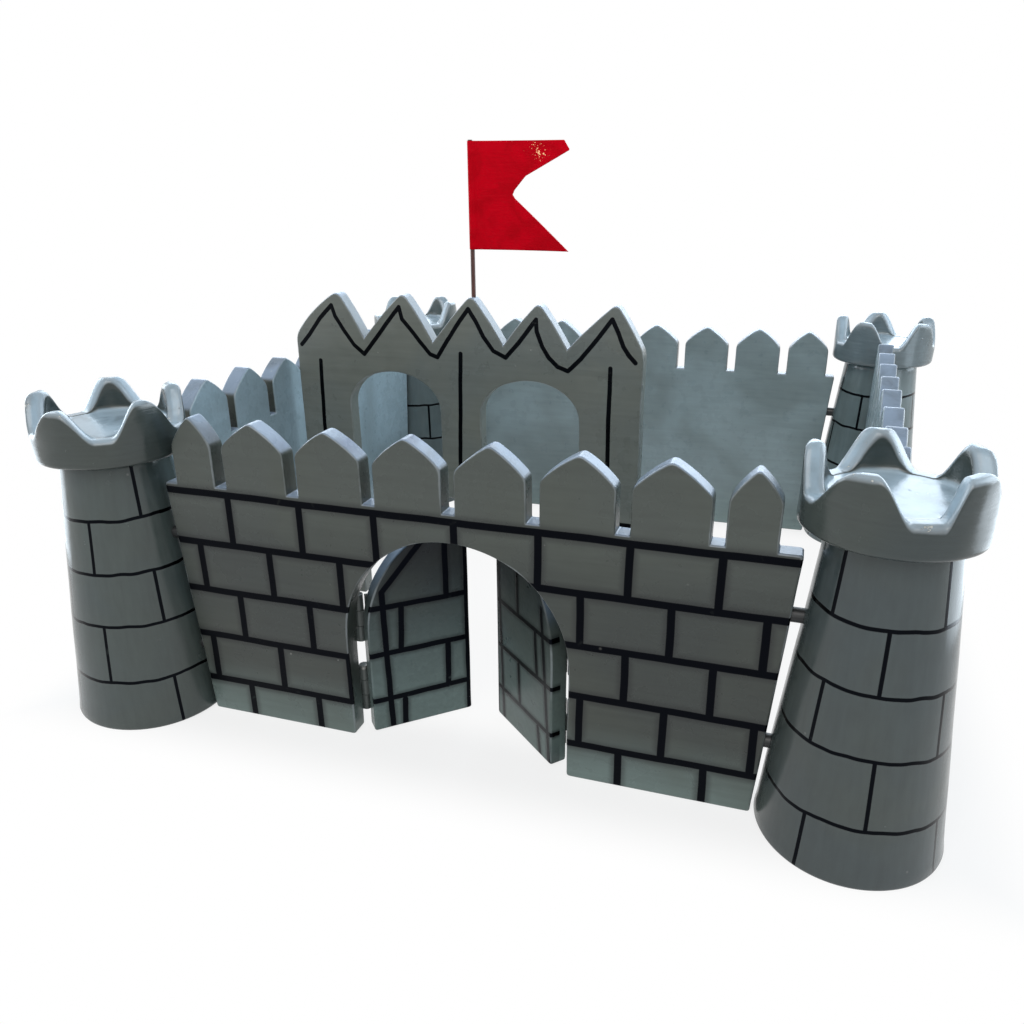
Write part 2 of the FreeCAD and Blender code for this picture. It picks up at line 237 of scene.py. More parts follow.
def bow(start: Sequence[float], end: Sequence[float], rise: float, count: int = 4) -> np.ndarray:
    """Points between two places on a shallow parabola.

    The straight run gets 4 * rise * share * (1 - share) added on its right-hand side.

    Args:
        start: First place, across and height.
        end: Last place.
        rise: How far the middle stands out, on the right-hand side of the run.
        count: Number of points between the two places.

    Returns:
        The points, without the two ends.
    """
    share = (np.arange(count) + 1) / (count + 1)
    first = np.asarray(start, dtype=float)
    run = np.asarray(end, dtype=float) - first
    side = np.array([run[1], -run[0]]) / np.linalg.norm(run)
    return first + share[:, None] * run + (4 * rise * share * (1 - share))[:, None] * side


def arch(middle: float, half: float, spring: float, crown: float, turn: float, count: int = 22) -> np.ndarray:
    """Points of an opening's round head, over from its left jamb.

    The head is an ellipse, of half the width and of the head's rise.

    Args:
        middle: Middle of the opening.
        half: Half its width.
        spring: Height at which the head starts.
        crown: Height of the head's top.
        turn: Angle at which the head ends, in degrees; 0 is the right jamb.
        count: Number of points.

    Returns:
        The points, one row each.
    """
    angle = np.radians(np.linspace(180.0, turn, count + 1))
    return np.stack([middle + half * np.cos(angle), spring + (crown - spring) * np.sin(angle)], axis=-1)


@dataclass
class Board:
    """A sawn board with softened edges, made by carrying an edge profile along its outline."""

    thickness: float
    edge_round: float = 1.0
    worn_band: float = 1.7
    corner_steps: int = 5
    arc_steps: int = 4
    spacing: float = 4.0
    unevenness: float = 0.22
    uneven_length: float = 47.0
    still_height: float = 3.0
    seed: float = 0.0

    def profile(self) -> np.ndarray:
        """The edge profile from front to back, as rows of inset, depth, facing angle and wear.

        A quarter circle softens the front edge, with a flat band before and after it, and the back edge
        mirrors it.
        """
        half = self.thickness / 2
        angle = np.linspace(0.0, math.pi / 2, self.arc_steps)
        wear = np.full(self.arc_steps, 1.0)
        wear[[0, -1]] = 0.45
        inset = self.edge_round * (1 - np.sin(angle))
        depth = self.edge_round * (1 - np.cos(angle)) - half
        arc = np.stack([inset, depth, angle, wear], axis=-1)
        band = self.edge_round + self.worn_band
        front = np.vstack([[band, -half, 0.0, 0.0], arc, [0.0, -half + band, math.pi / 2, 0.0]])
        back = front[::-1] * [1, -1, -1, 1] + [0, 0, math.pi, 0]
        return np.vstack([front, back])

    def inset(self, corners: np.ndarray, distance: float) -> np.ndarray:
        """Move each side of the outline inwards by a distance and find the corners again.

        Args:
            corners: The outline's corners.
            distance: How far to move the sides.

        Returns:
            The new corners. Each moves by distance * (a + b) / (1 + a.b), where a and b are the inward
            normals of its two sides.
        """
        run = np.roll(corners, -1, axis=0) - corners
        run /= np.linalg.norm(run, axis=1, keepdims=True)
        after = np.stack([-run[:, 1], run[:, 0]], axis=-1)
        before = np.roll(after, 1, axis=0)
        share = 1 + np.sum(after * before, axis=1, keepdims=True)
        return corners + distance * (after + before) / np.maximum(share, 0.25)

    def rounded(self, corners: np.ndarray, cuts: np.ndarray) -> tuple[np.ndarray, np.ndarray]:
        """Replace each corner by a quadratic curve that starts and ends one cut away from it.

        Args:
            corners: The outline's corners.
            cuts: Each corner's cut, at most half of the shorter run beside it.

        Returns:
            The curve's points and its directions, one row each.
        """
        back = np.roll(corners, 1, axis=0) - corners
        ahead = np.roll(corners, -1, axis=0) - corners
        back_length = np.linalg.norm(back, axis=1)
        ahead_length = np.linalg.norm(ahead, axis=1)
        cut = np.minimum(cuts, 0.499 * np.minimum(back_length, ahead_length))[:, None]
        start = corners + back / back_length[:, None] * cut
        end = corners + ahead / ahead_length[:, None] * cut
        share = np.linspace(0.0, 1.0, self.corner_steps)[None, :, None]
        start, middle, end = start[:, None], corners[:, None], end[:, None]
        points = (1 - share) ** 2 * start + 2 * share * (1 - share) * middle + share ** 2 * end
        runs = (1 - share) * (middle - start) + share * (end - middle)
        runs /= np.linalg.norm(runs, axis=2, keepdims=True)
        return points.reshape(-1, 2), runs.reshape(-1, 2)

    def shape(self, outline: Outline, flip_along: bool = False) -> Shape:
        """Build the board about its own middle plane: X along it, Y through it from front to back, Z up.

        Args:
            outline: The board's outline.
            flip_along: Whether distances along the board are counted the other way in its material.

        Returns:
            The board. Its material reads "board" (along, depth from the front face, height), "rim" (edge
            wear) and "up" (how far a face looks up).
        """
        corners = np.array(outline.corners)
        cuts = np.array(outline.cuts)
        points, runs = self.rounded(corners, cuts)
        gap = np.linalg.norm(np.roll(points, -1, axis=0) - points, axis=1)
        extra = np.maximum(np.ceil(gap / self.spacing).astype(int), 1)
        stations = np.repeat(np.arange(len(points)), extra)
        within = np.arange(extra.sum()) - np.repeat(np.cumsum(extra) - extra, extra)
        station = stations + within / np.repeat(extra, extra)
        runs = self.along(runs, station)
        outward = np.stack([runs[:, 1], -runs[:, 0]], axis=-1)
        rings = []
        normals = []
        profile = self.profile()
        for distance, depth, angle, _ in profile:
            ring = self.along(self.rounded(self.inset(corners, distance), cuts)[0], station)
            lift = wobble(ring, self.uneven_length, self.seed) * self.unevenness
            lift *= np.clip((ring[:, 1] - self.still_height) / self.still_height, 0.0, 1.0)
            ring = ring + outward * lift[:, None]
            side = np.full(len(ring), depth)
            rings.append(np.stack([ring[:, 0], side, ring[:, 1]], axis=-1))
            facing = np.full(len(ring), -math.cos(angle))
            normals.append(np.stack([
                outward[:, 0] * math.sin(angle), facing, outward[:, 1] * math.sin(angle)], axis=-1))
        vertices = np.stack(rings, axis=1)
        count, width = vertices.shape[:2]
        vertices = vertices.reshape(-1, 3)
        index = np.arange(count * width).reshape(count, width)
        faces = [grid_faces(count, width, True), index[None, :, 0], index[None, ::-1, -1]]
        board = vertices + [0, self.thickness / 2, 0]
        if flip_along:
            board = board * [-1, 1, 1]
        rim = np.tile(profile[:, 3], count)
        facing = np.stack(normals, axis=1).reshape(-1, 3)
        up = np.clip(facing[:, 2], 0.0, 1.0)
        return Shape(vertices, faces, facing, {"board": board * MM}, {"rim": rim, "up": up})

    @staticmethod
    def along(rows: np.ndarray, station: np.ndarray) -> np.ndarray:
        """Read a closed row of values at places between its entries, in a straight line from one to the next.

        Args:
            rows: The values, one row for each whole number.
            station: The places to read.

        Returns:
            One row for each place.
        """
        low = np.floor(station).astype(int)
        share = (station - low)[:, None]
        return rows[low] * (1 - share) + rows[(low + 1) % len(rows)] * share


# Materials: a small builder for node trees, the shared effects, and the finishes


class Graph:
    """Adds nodes to one node tree. A value may be another node's socket, a number, a vector or a colour."""

    def __init__(self, tree: bpy.types.NodeTree) -> None:
        """Start on a tree.

        Args:
            tree: The material's or the group's node tree.
        """
        self.tree = tree

    def link(self, source: Socket, target: Socket) -> None:
        """Join two sockets."""
        self.tree.links.new(source, target)

    def feed(self, made: bpy.types.Node, values: Inputs) -> bpy.types.Node:
        """Set a node's inputs: link what is a socket, and store what is a value.

        Args:
            made: The node.
            values: What goes into its inputs, by name or number.

        Returns:
            The node itself.
        """
        for key, value in values.items():
            if isinstance(value, bpy.types.NodeSocket):
                self.link(value, made.inputs[key])
            else:
                made.inputs[key].default_value = value
        return made

    def node(self, kind: str, values: Inputs | None = None, **settings: object) -> bpy.types.Node:
        """Add a node.

        Args:
            kind: The node's type.
            values: What goes into its inputs, by name or number.
            **settings: Its other settings.

        Returns:
            The node.
        """
        made = self.tree.nodes.new(kind)
        for key, value in settings.items():
            setattr(made, key, value)
        return self.feed(made, values or {})

    def math(self, operation: str, first: object, second: object = 0.0, third: object = 0.0) -> Socket:
        """One arithmetic step on numbers; returns its result."""
        return self.node("ShaderNodeMath", {0: first, 1: second, 2: third}, operation=operation).outputs[0]

    def vector(self, operation: str, first: object, second: object = (0, 0, 0)) -> Socket:
        """One arithmetic step on vectors; returns its vector."""
        return self.node("ShaderNodeVectorMath", {0: first, 1: second}, operation=operation).outputs[0]

    def measure(self, operation: str, first: object, second: object = (0, 0, 0)) -> Socket:
        """One step from vectors to a number, such as a length; returns the number."""
        return self.node("ShaderNodeVectorMath", {0: first, 1: second}, operation=operation).outputs[1]

    def scaled(self, vector: object, scale: object) -> Socket:
        """A vector times a number."""
        return self.node("ShaderNodeVectorMath", {0: vector, "Scale": scale}, operation="SCALE").outputs[0]

    def split(self, vector: Socket) -> list[Socket]:
        """A vector's three parts."""
        return list(self.node("ShaderNodeSeparateXYZ", {0: vector}).outputs)

    def join(self, *parts: object) -> Socket:
        """A vector from three parts."""
        return self.node("ShaderNodeCombineXYZ", dict(enumerate(parts))).outputs[0]

    def ramp(self, value: object, low: object, high: object, start: float = 0.0, end: float = 1.0) -> Socket:
        """A smooth step: start below low, end above high."""
        values = {"Value": value, "From Min": low, "From Max": high, "To Min": start, "To Max": end}
        return self.node("ShaderNodeMapRange", values, interpolation_type="SMOOTHSTEP").outputs[0]

    def mix(self, share: object, first: object, second: object) -> Socket:
        """Two colours mixed by a share."""
        values = {0: share, 6: first, 7: second}
        return self.node("ShaderNodeMix", values, data_type="RGBA").outputs[2]

    def noise(self, place: object, scale: float, detail: float = 3.0, distortion: float = 0.0) -> Socket:
        """Cloudy noise from 0 to 1, about 0.5 on average."""
        values = {"Vector": place, "Scale": scale, "Detail": detail, "Distortion": distortion}
        return self.node("ShaderNodeTexNoise", values).outputs[0]

    def noise_vector(self, place: object, scale: float, detail: float = 2.0) -> Socket:
        """Noise as a vector about zero, half a unit each way."""
        made = self.node("ShaderNodeTexNoise", {"Vector": place, "Scale": scale, "Detail": detail})
        return self.vector("SUBTRACT", made.outputs[1], (0.5, 0.5, 0.5))

    def swing(self, value: object, amount: object, middle: object = 0.0) -> Socket:
        """A noise's swing about one half, times an amount, added to a middle."""
        return self.math("MULTIPLY_ADD", self.math("SUBTRACT", value, 0.5), amount, middle)

    def attribute(self, name: str, vector: bool = False) -> Socket:
        """What a mesh stores at its vertices under a name."""
        made = self.node("ShaderNodeAttribute", attribute_name=name)
        return made.outputs["Vector"] if vector else made.outputs["Fac"]

    def place(self) -> Socket:
        """The object's own coordinates, in metres."""
        return self.node("ShaderNodeTexCoord").outputs["Object"]

    def effect(self, effect: "Effect", values: Inputs) -> bpy.types.Node:
        """Place a shared effect.

        Args:
            effect: Which effect.
            values: What goes into its inputs.

        Returns:
            The group node.
        """
        made = self.tree.nodes.new("ShaderNodeGroup")
        made.node_tree = shared_effect(effect)
        return self.feed(made, values)


class Effect(Enum):
    """The effects that several finishes share."""

    BRUSHED = "Brushed enamel"
    EDGE_WEAR = "Edge wear"
    STROKE = "Pen stroke"
    BRICKS = "Straight brickwork"
    RINGS = "Brickwork round a tower"


FLOAT = "NodeSocketFloat"
VECTOR = "NodeSocketVector"
COLOUR = "NodeSocketColor"
AT_ZERO = (VECTOR, (0, 0, 0))
DARK_GREY = (COLOUR, (0.1, 0.1, 0.1, 1))


def new_group(
    name: str, inputs: dict[str, tuple[str, object]], outputs: dict[str, str]
) -> tuple[Graph, Callable[[str], Socket], Callable[[str, Socket], None]]:
    """Make an empty node group.

    Args:
        name: The group's name.
        inputs: Each input's socket type and first value.
        outputs: Each output's socket type.

    Returns:
        The group's graph, a function that gives an input's socket, and one that feeds an output.
    """
    tree = bpy.data.node_groups.new(name, "ShaderNodeTree")
    for key, (kind, value) in inputs.items():
        tree.interface.new_socket(name=key, in_out="INPUT", socket_type=kind).default_value = value
    for key, kind in outputs.items():
        tree.interface.new_socket(name=key, in_out="OUTPUT", socket_type=kind)
    source = tree.nodes.new("NodeGroupInput")
    sink = tree.nodes.new("NodeGroupOutput")

    def take(key: str) -> Socket:
        """The socket of an input."""
        return source.outputs[key]

    def give(key: str, value: Socket) -> None:
        """Feed an output."""
        tree.links.new(value, sink.inputs[key])

    return Graph(tree), take, give


def brushed_group() -> bpy.types.NodeTree:
    """Enamel put on with a brush: fine streaks, cloudy patches of tone, and nibs of dust under the paint.

    The streaks are noise squeezed along the brush's way, the patches are wide noise, and a nib is a short
    smooth step on the distance to the nearest of scattered points.
    """
    cloud_range = (0.38, 0.66)
    cloud_share = 0.75
    streak_tone = 0.34
    fine_tone = 0.16
    nib_scale = 120.0
    nib_chance = (0.9, 0.93)
    nib_relief = 1.4
    graph, take, give = new_group(
        Effect.BRUSHED.value,
        {"Place": AT_ZERO, "Base": DARK_GREY, "Cloud": DARK_GREY, "Brush": (VECTOR, (40, 600, 600)),
         "Roughness": (FLOAT, 0.3)},
        {"Color": COLOUR, "Roughness": FLOAT, "Height": FLOAT, "Specks": FLOAT})
    place = take("Place")
    streaks = graph.noise(graph.vector("MULTIPLY", place, take("Brush")), 1.0, 3.0, 0.25)
    broad = graph.noise(place, 16.0, 3.0, 0.5)
    fine = graph.noise(place, 130.0, 3.0)
    cloud = graph.math("MULTIPLY", graph.ramp(broad, *cloud_range), cloud_share)
    tone = graph.swing(fine, fine_tone, graph.swing(streaks, streak_tone, 1.0))
    colour = graph.mix(cloud, take("Base"), take("Cloud"))
    give("Color", graph.vector("MULTIPLY", colour, graph.join(tone, tone, tone)))
    points = graph.node("ShaderNodeTexVoronoi", {"Vector": place, "Scale": nib_scale})
    chance = graph.split(points.outputs["Color"])[0]
    size = graph.math("MULTIPLY_ADD", chance, -0.5, 0.575)
    near = graph.ramp(points.outputs["Distance"], 0.0, size, 1.0, 0.0)
    nib = graph.math("MULTIPLY", near, graph.ramp(chance, *nib_chance))
    give("Roughness", graph.swing(broad, 0.2, graph.swing(fine, 0.25, take("Roughness"))))
    relief = graph.math("MULTIPLY_ADD", fine, 0.35, graph.math("MULTIPLY", streaks, 0.5))
    give("Height", graph.math("MULTIPLY_ADD", nib, nib_relief, relief))
    give("Specks", nib)
    return graph.tree


def edge_wear_group() -> bpy.types.NodeTree:
    """Paint worn thin along the edges, whose pale tone in the finishes is also a painted edge highlight, and
    chips down to the wood where it is thinnest.

    Each mask is a smooth step on the edge value of the mesh plus noise, so it breaks up along the edge.
    """
    patch_swing = 1.7
    grit_swing = 2.4
    rubbed_from = (1.0, 1.7)
    chipped_from = (2.02, 2.14)
    graph, take, give = new_group(
        Effect.EDGE_WEAR.value,
        {"Place": AT_ZERO, "Rim": (FLOAT, 0.0), "Amount": (FLOAT, 0.5)},
        {"Rubbed": FLOAT, "Chipped": FLOAT})
    place = take("Place")
    rim = take("Rim")
    patch = graph.noise(place, 45.0, 4.0, 0.6)
    grit = graph.noise(place, 520.0, 3.0)
    level = graph.math("ADD", graph.swing(patch, patch_swing, rim), take("Amount"))
    give("Rubbed", graph.math("MULTIPLY", graph.ramp(level, *rubbed_from), graph.ramp(rim, 0.05, 0.5)))
    chip = graph.swing(grit, grit_swing, level)
    give("Chipped", graph.math("MULTIPLY", graph.ramp(chip, *chipped_from), graph.ramp(rim, 0.1, 0.6)))
    return graph.tree


def stroke_group() -> bpy.types.NodeTree:
    """One straight stroke of a pen or brush, added to the strokes before it.

    The place's distance to the line from start to end is taken with the foot of its perpendicular held
    between the two.
    """
    graph, take, give = new_group(
        Effect.STROKE.value,
        {"Place": AT_ZERO, "Start": AT_ZERO, "End": (VECTOR, (0, 0, 1)), "Half Width": (FLOAT, 0.001),
         "Softness": (FLOAT, 0.0002), "Before": (FLOAT, 0.0)},
        {"Mask": FLOAT})
    run = graph.vector("SUBTRACT", take("End"), take("Start"))
    reach = graph.vector("SUBTRACT", take("Place"), take("Start"))
    along = graph.measure("DOT_PRODUCT", reach, run)
    share = graph.math("DIVIDE", along, graph.measure("DOT_PRODUCT", run, run))
    share = graph.math("MINIMUM", graph.math("MAXIMUM", share, 0.0), 1.0)
    distance = graph.measure("LENGTH", graph.vector("SUBTRACT", reach, graph.scaled(run, share)))
    outer = graph.math("ADD", take("Half Width"), take("Softness"))
    stroke = graph.ramp(distance, take("Half Width"), outer, 1.0, 0.0)
    give("Mask", graph.math("MAXIMUM", stroke, take("Before")))
    return graph.tree


def bricks_group() -> bpy.types.NodeTree:
    """Straight brickwork on a board: level lines one step apart, and joints one pitch apart.

    The joints are offset in every other row. A line's distance is the height's remainder by the step, and
    a joint's the distance along's remainder by the pitch.
    """
    unsteady = 0.0011
    jitter_width = 0.0014
    softness = 0.0002
    graph, take, give = new_group(
        Effect.BRICKS.value,
        {"Board": AT_ZERO, "Half Width": (FLOAT, 0.0016), "Lowest": (FLOAT, 0.0184),
         "Step": (FLOAT, 0.02445), "Rows": (FLOAT, 4.0), "Pitch": (FLOAT, 0.0367), "Shift": (FLOAT, 0.0018),
         "Halo": (FLOAT, 0.002)},
        {"Mask": FLOAT, "Halo": FLOAT})
    half_width = take("Half Width")
    hand = graph.scaled(graph.noise_vector(take("Board"), 28.0), unsteady)
    along, _, height = graph.split(graph.vector("ADD", take("Board"), hand))
    level = graph.math("DIVIDE", graph.math("SUBTRACT", height, take("Lowest")), take("Step"))
    row = graph.math("FLOOR", level)
    nearest = graph.math("MINIMUM", graph.math("MAXIMUM", graph.math("ROUND", level), 0.0), take("Rows"))
    off_line = graph.math("ABSOLUTE", graph.math("SUBTRACT", level, nearest))
    line = graph.math("MULTIPLY", off_line, take("Step"))
    even = graph.math("SUBTRACT", 1.0, graph.math("PINGPONG", row, 1.0))
    offset = graph.math("MULTIPLY", even, graph.math("MULTIPLY", take("Pitch"), 0.5))
    shifted = graph.math("SUBTRACT", graph.math("SUBTRACT", along, take("Shift")), offset)
    cell = graph.math("ROUND", graph.math("DIVIDE", shifted, take("Pitch")))
    brick = {"Vector": graph.join(cell, row, 0.0)}
    luck = graph.node("ShaderNodeTexWhiteNoise", brick, noise_dimensions="3D")
    centre = graph.math("MULTIPLY_ADD", cell, take("Pitch"), graph.swing(luck.outputs[0], jitter_width))
    joint = graph.math("ABSOLUTE", graph.math("SUBTRACT", shifted, centre))
    below = graph.math("LESS_THAN", level, take("Rows"))
    joint = graph.math("ADD", joint, graph.math("SUBTRACT", 1.0, below))
    distance = graph.math("MINIMUM", line, joint)
    inner = graph.math("SUBTRACT", half_width, softness)
    outer = graph.math("ADD", half_width, softness)
    give("Mask", graph.ramp(distance, inner, outer, 1.0, 0.0))
    faded = graph.math("ADD", half_width, take("Halo"))
    give("Halo", graph.ramp(distance, half_width, faded, 1.0, 0.0))
    return graph.tree


TOWER_RINGS = 4


def rings_group() -> bpy.types.NodeTree:
    """Pen brickwork round a tower: four rings, and in each row four joints a quarter turn apart.

    The angle is the arc tangent of the place about the tower's axis. A joint's distance is the angle's
    remainder by a quarter turn, times the radius. Noise moves the rings up and down, as an unsteady hand
    does.
    """
    sway_scale = (34.0, 34.0, 11.0)
    sway_degrees = 3.0
    sway_height = 0.0062
    half_pitch = 45.0
    softness = 0.00015
    rings = {f"Ring {number}": (FLOAT, 0.1) for number in range(TOWER_RINGS)}
    joints = {f"Joint {number}": (FLOAT, 0.0) for number in range(TOWER_RINGS + 1)}
    graph, take, give = new_group(
        Effect.RINGS.value,
        {"About": AT_ZERO, "Half Width": (FLOAT, 0.0007), **rings, **joints},
        {"Mask": FLOAT})
    about = take("About")
    sway = graph.split(graph.noise_vector(graph.vector("MULTIPLY", about, sway_scale), 1.0, 2.5))
    across, depth, height = graph.split(about)
    radius = graph.measure("LENGTH", graph.join(across, depth, 0.0))
    angle = graph.math("DEGREES", graph.math("ARCTAN2", depth, across))
    angle = graph.math("MULTIPLY_ADD", sway[0], sway_degrees, angle)
    height = graph.math("MULTIPLY_ADD", sway[2], sway_height, height)
    nearest: Socket | None = None
    turn: Socket = take("Joint 0")
    for number in range(TOWER_RINGS):
        gap = graph.math("SUBTRACT", height, take(f"Ring {number}"))
        ring = graph.math("ABSOLUTE", gap)
        nearest = ring if nearest is None else graph.math("MINIMUM", nearest, ring)
        under = graph.math("LESS_THAN", gap, 0.0)
        change = graph.math("SUBTRACT", take(f"Joint {number + 1}"), take(f"Joint {number}"))
        turn = graph.math("MULTIPLY_ADD", under, change, turn)
    off = graph.math("WRAP", graph.math("SUBTRACT", angle, turn), half_pitch, -half_pitch)
    arc = graph.math("MULTIPLY", graph.math("ABSOLUTE", graph.math("RADIANS", off)), radius)
    distance = graph.math("MINIMUM", nearest, arc)
    inner = graph.math("SUBTRACT", take("Half Width"), softness)
    outer = graph.math("ADD", take("Half Width"), softness)
    give("Mask", graph.ramp(distance, inner, outer, 1.0, 0.0))
    return graph.tree


EFFECT_MAKERS: dict[Effect, Callable[[], bpy.types.NodeTree]] = {
    Effect.BRUSHED: brushed_group,
    Effect.EDGE_WEAR: edge_wear_group,
    Effect.STROKE: stroke_group,
    Effect.BRICKS: bricks_group,
    Effect.RINGS: rings_group,
}


def shared_effect(effect: Effect) -> bpy.types.NodeTree:
    """The node group of an effect, built the first time it is asked for.

    Args:
        effect: Which effect.

    Returns:
        Its node tree.
    """
    found = bpy.data.node_groups.get(effect.value)
    return found or EFFECT_MAKERS[effect]()


def empty_graph(block: bpy.types.Material | bpy.types.World) -> Graph:
    """Switch on the nodes of a material or a world and clear them.

    Args:
        block: The material or the world.

    Returns:
        The graph of its empty node tree.
    """
    block.use_nodes = True
    block.node_tree.nodes.clear()
    return Graph(block.node_tree)


def new_material(name: str) -> tuple[bpy.types.Material, Graph, bpy.types.Node]:
    """Make a material with one Principled shader.

    Args:
        name: The material's name.

    Returns:
        The material, its graph and the shader's node.
    """
    material = bpy.data.materials.new(name)
    graph = empty_graph(material)
    output = graph.node("ShaderNodeOutputMaterial")
    shader = graph.node("ShaderNodeBsdfPrincipled")
    graph.link(shader.outputs[0], output.inputs[0])
    return material, graph, shader


@dataclass(frozen=True)
class PlainFace:
    """No lines at all."""

    def masks(self, graph: Graph) -> tuple[object, object]:
        """The lines' mask and their soft shadow's: none."""
        return 0.0, 0.0


@dataclass(frozen=True)
class Brickwork:
    """Straight painted brickwork on the outer face of a wall, carried a little way round its edges."""

    half_width: float = 1.65
    lowest: float = 18.4
    step: float = 24.45
    lines: int = 5
    pitch: float = 36.7
    shift: float = 1.8
    halo: float = 3.2
    wrap: float = 2.6
    wrap_fade: float = 0.6
    ragged: float = 3.0

    def masks(self, graph: Graph) -> tuple[object, object]:
        """The lines' mask and their soft shadow's.

        Args:
            graph: The material's graph.

        Returns:
            Both masks, which end a short way round the edge from the outer face.
        """
        board = graph.attribute("board", vector=True)
        made = graph.effect(Effect.BRICKS, {
            "Board": board, "Half Width": self.half_width * MM, "Lowest": self.lowest * MM,
            "Step": self.step * MM, "Rows": float(self.lines - 1), "Pitch": self.pitch * MM,
            "Shift": self.shift * MM, "Halo": self.halo * MM})
        depth = graph.split(board)[1]
        ragged = graph.math("MULTIPLY_ADD", graph.noise(board, 90.0), self.ragged * MM, depth)
        front = graph.ramp(ragged, self.wrap * MM, (self.wrap + self.wrap_fade) * MM, 1.0, 0.0)
        return graph.math("MULTIPLY", made.outputs[0], front), graph.math("MULTIPLY", made.outputs[1], front)


@dataclass(frozen=True)
class TowerPen:
    """Pen brickwork round one tower."""

    rings: tuple[float, float, float, float]
    joints: tuple[float, float, float, float, float]
    half_width: float = 0.78

    def masks(self, graph: Graph) -> tuple[object, object]:
        """The pen lines' mask, with no soft shadow.

        Args:
            graph: The material's graph.

        Returns:
            The mask, and nothing for the shadow.
        """
        about = graph.attribute("about", vector=True)
        values: Inputs = {"About": about, "Half Width": self.half_width * MM}
        values.update({f"Ring {number}": height * MM for number, height in enumerate(self.rings)})
        values.update({f"Joint {number}": turn for number, turn in enumerate(self.joints)})
        return graph.effect(Effect.RINGS, values).outputs[0], 0.0


@dataclass(frozen=True)
class Strokes:
    """Freehand strokes on a board's outer face, as runs from place to place, along and up, in millimetres."""

    runs: tuple[tuple[tuple[float, float], ...], ...]
    half_width: float
    softness: float = 0.25
    halo: float = 0.0
    unsteady: float = 0.9
    wrap: float = 1.6
    wrap_fade: float = 0.5

    def masks(self, graph: Graph) -> tuple[object, object]:
        """The strokes' mask and their soft shadow's.

        Args:
            graph: The material's graph.

        Returns:
            Both masks, which stay on the outer face and its edge.
        """
        board = graph.attribute("board", vector=True)
        hand = graph.scaled(graph.noise_vector(board, 60.0), self.unsteady * MM)
        flat = graph.vector("MULTIPLY", graph.vector("ADD", board, hand), (1.0, 0.0, 1.0))
        mask: object = 0.0
        shadow: object = 0.0
        for run in self.runs:
            for start, end in zip(run, run[1:]):
                ends = {"Place": flat, "Start": (start[0] * MM, 0.0, start[1] * MM),
                        "End": (end[0] * MM, 0.0, end[1] * MM), "Half Width": self.half_width * MM}
                mask = graph.effect(
                    Effect.STROKE, {**ends, "Softness": self.softness * MM, "Before": mask}).outputs[0]
                if self.halo:
                    shadow = graph.effect(
                        Effect.STROKE, {**ends, "Softness": self.halo * MM, "Before": shadow}).outputs[0]
        depth = graph.split(board)[1]
        front = graph.ramp(depth, self.wrap * MM, (self.wrap + self.wrap_fade) * MM, 1.0, 0.0)
        return graph.math("MULTIPLY", mask, front), graph.math("MULTIPLY", shadow, front)


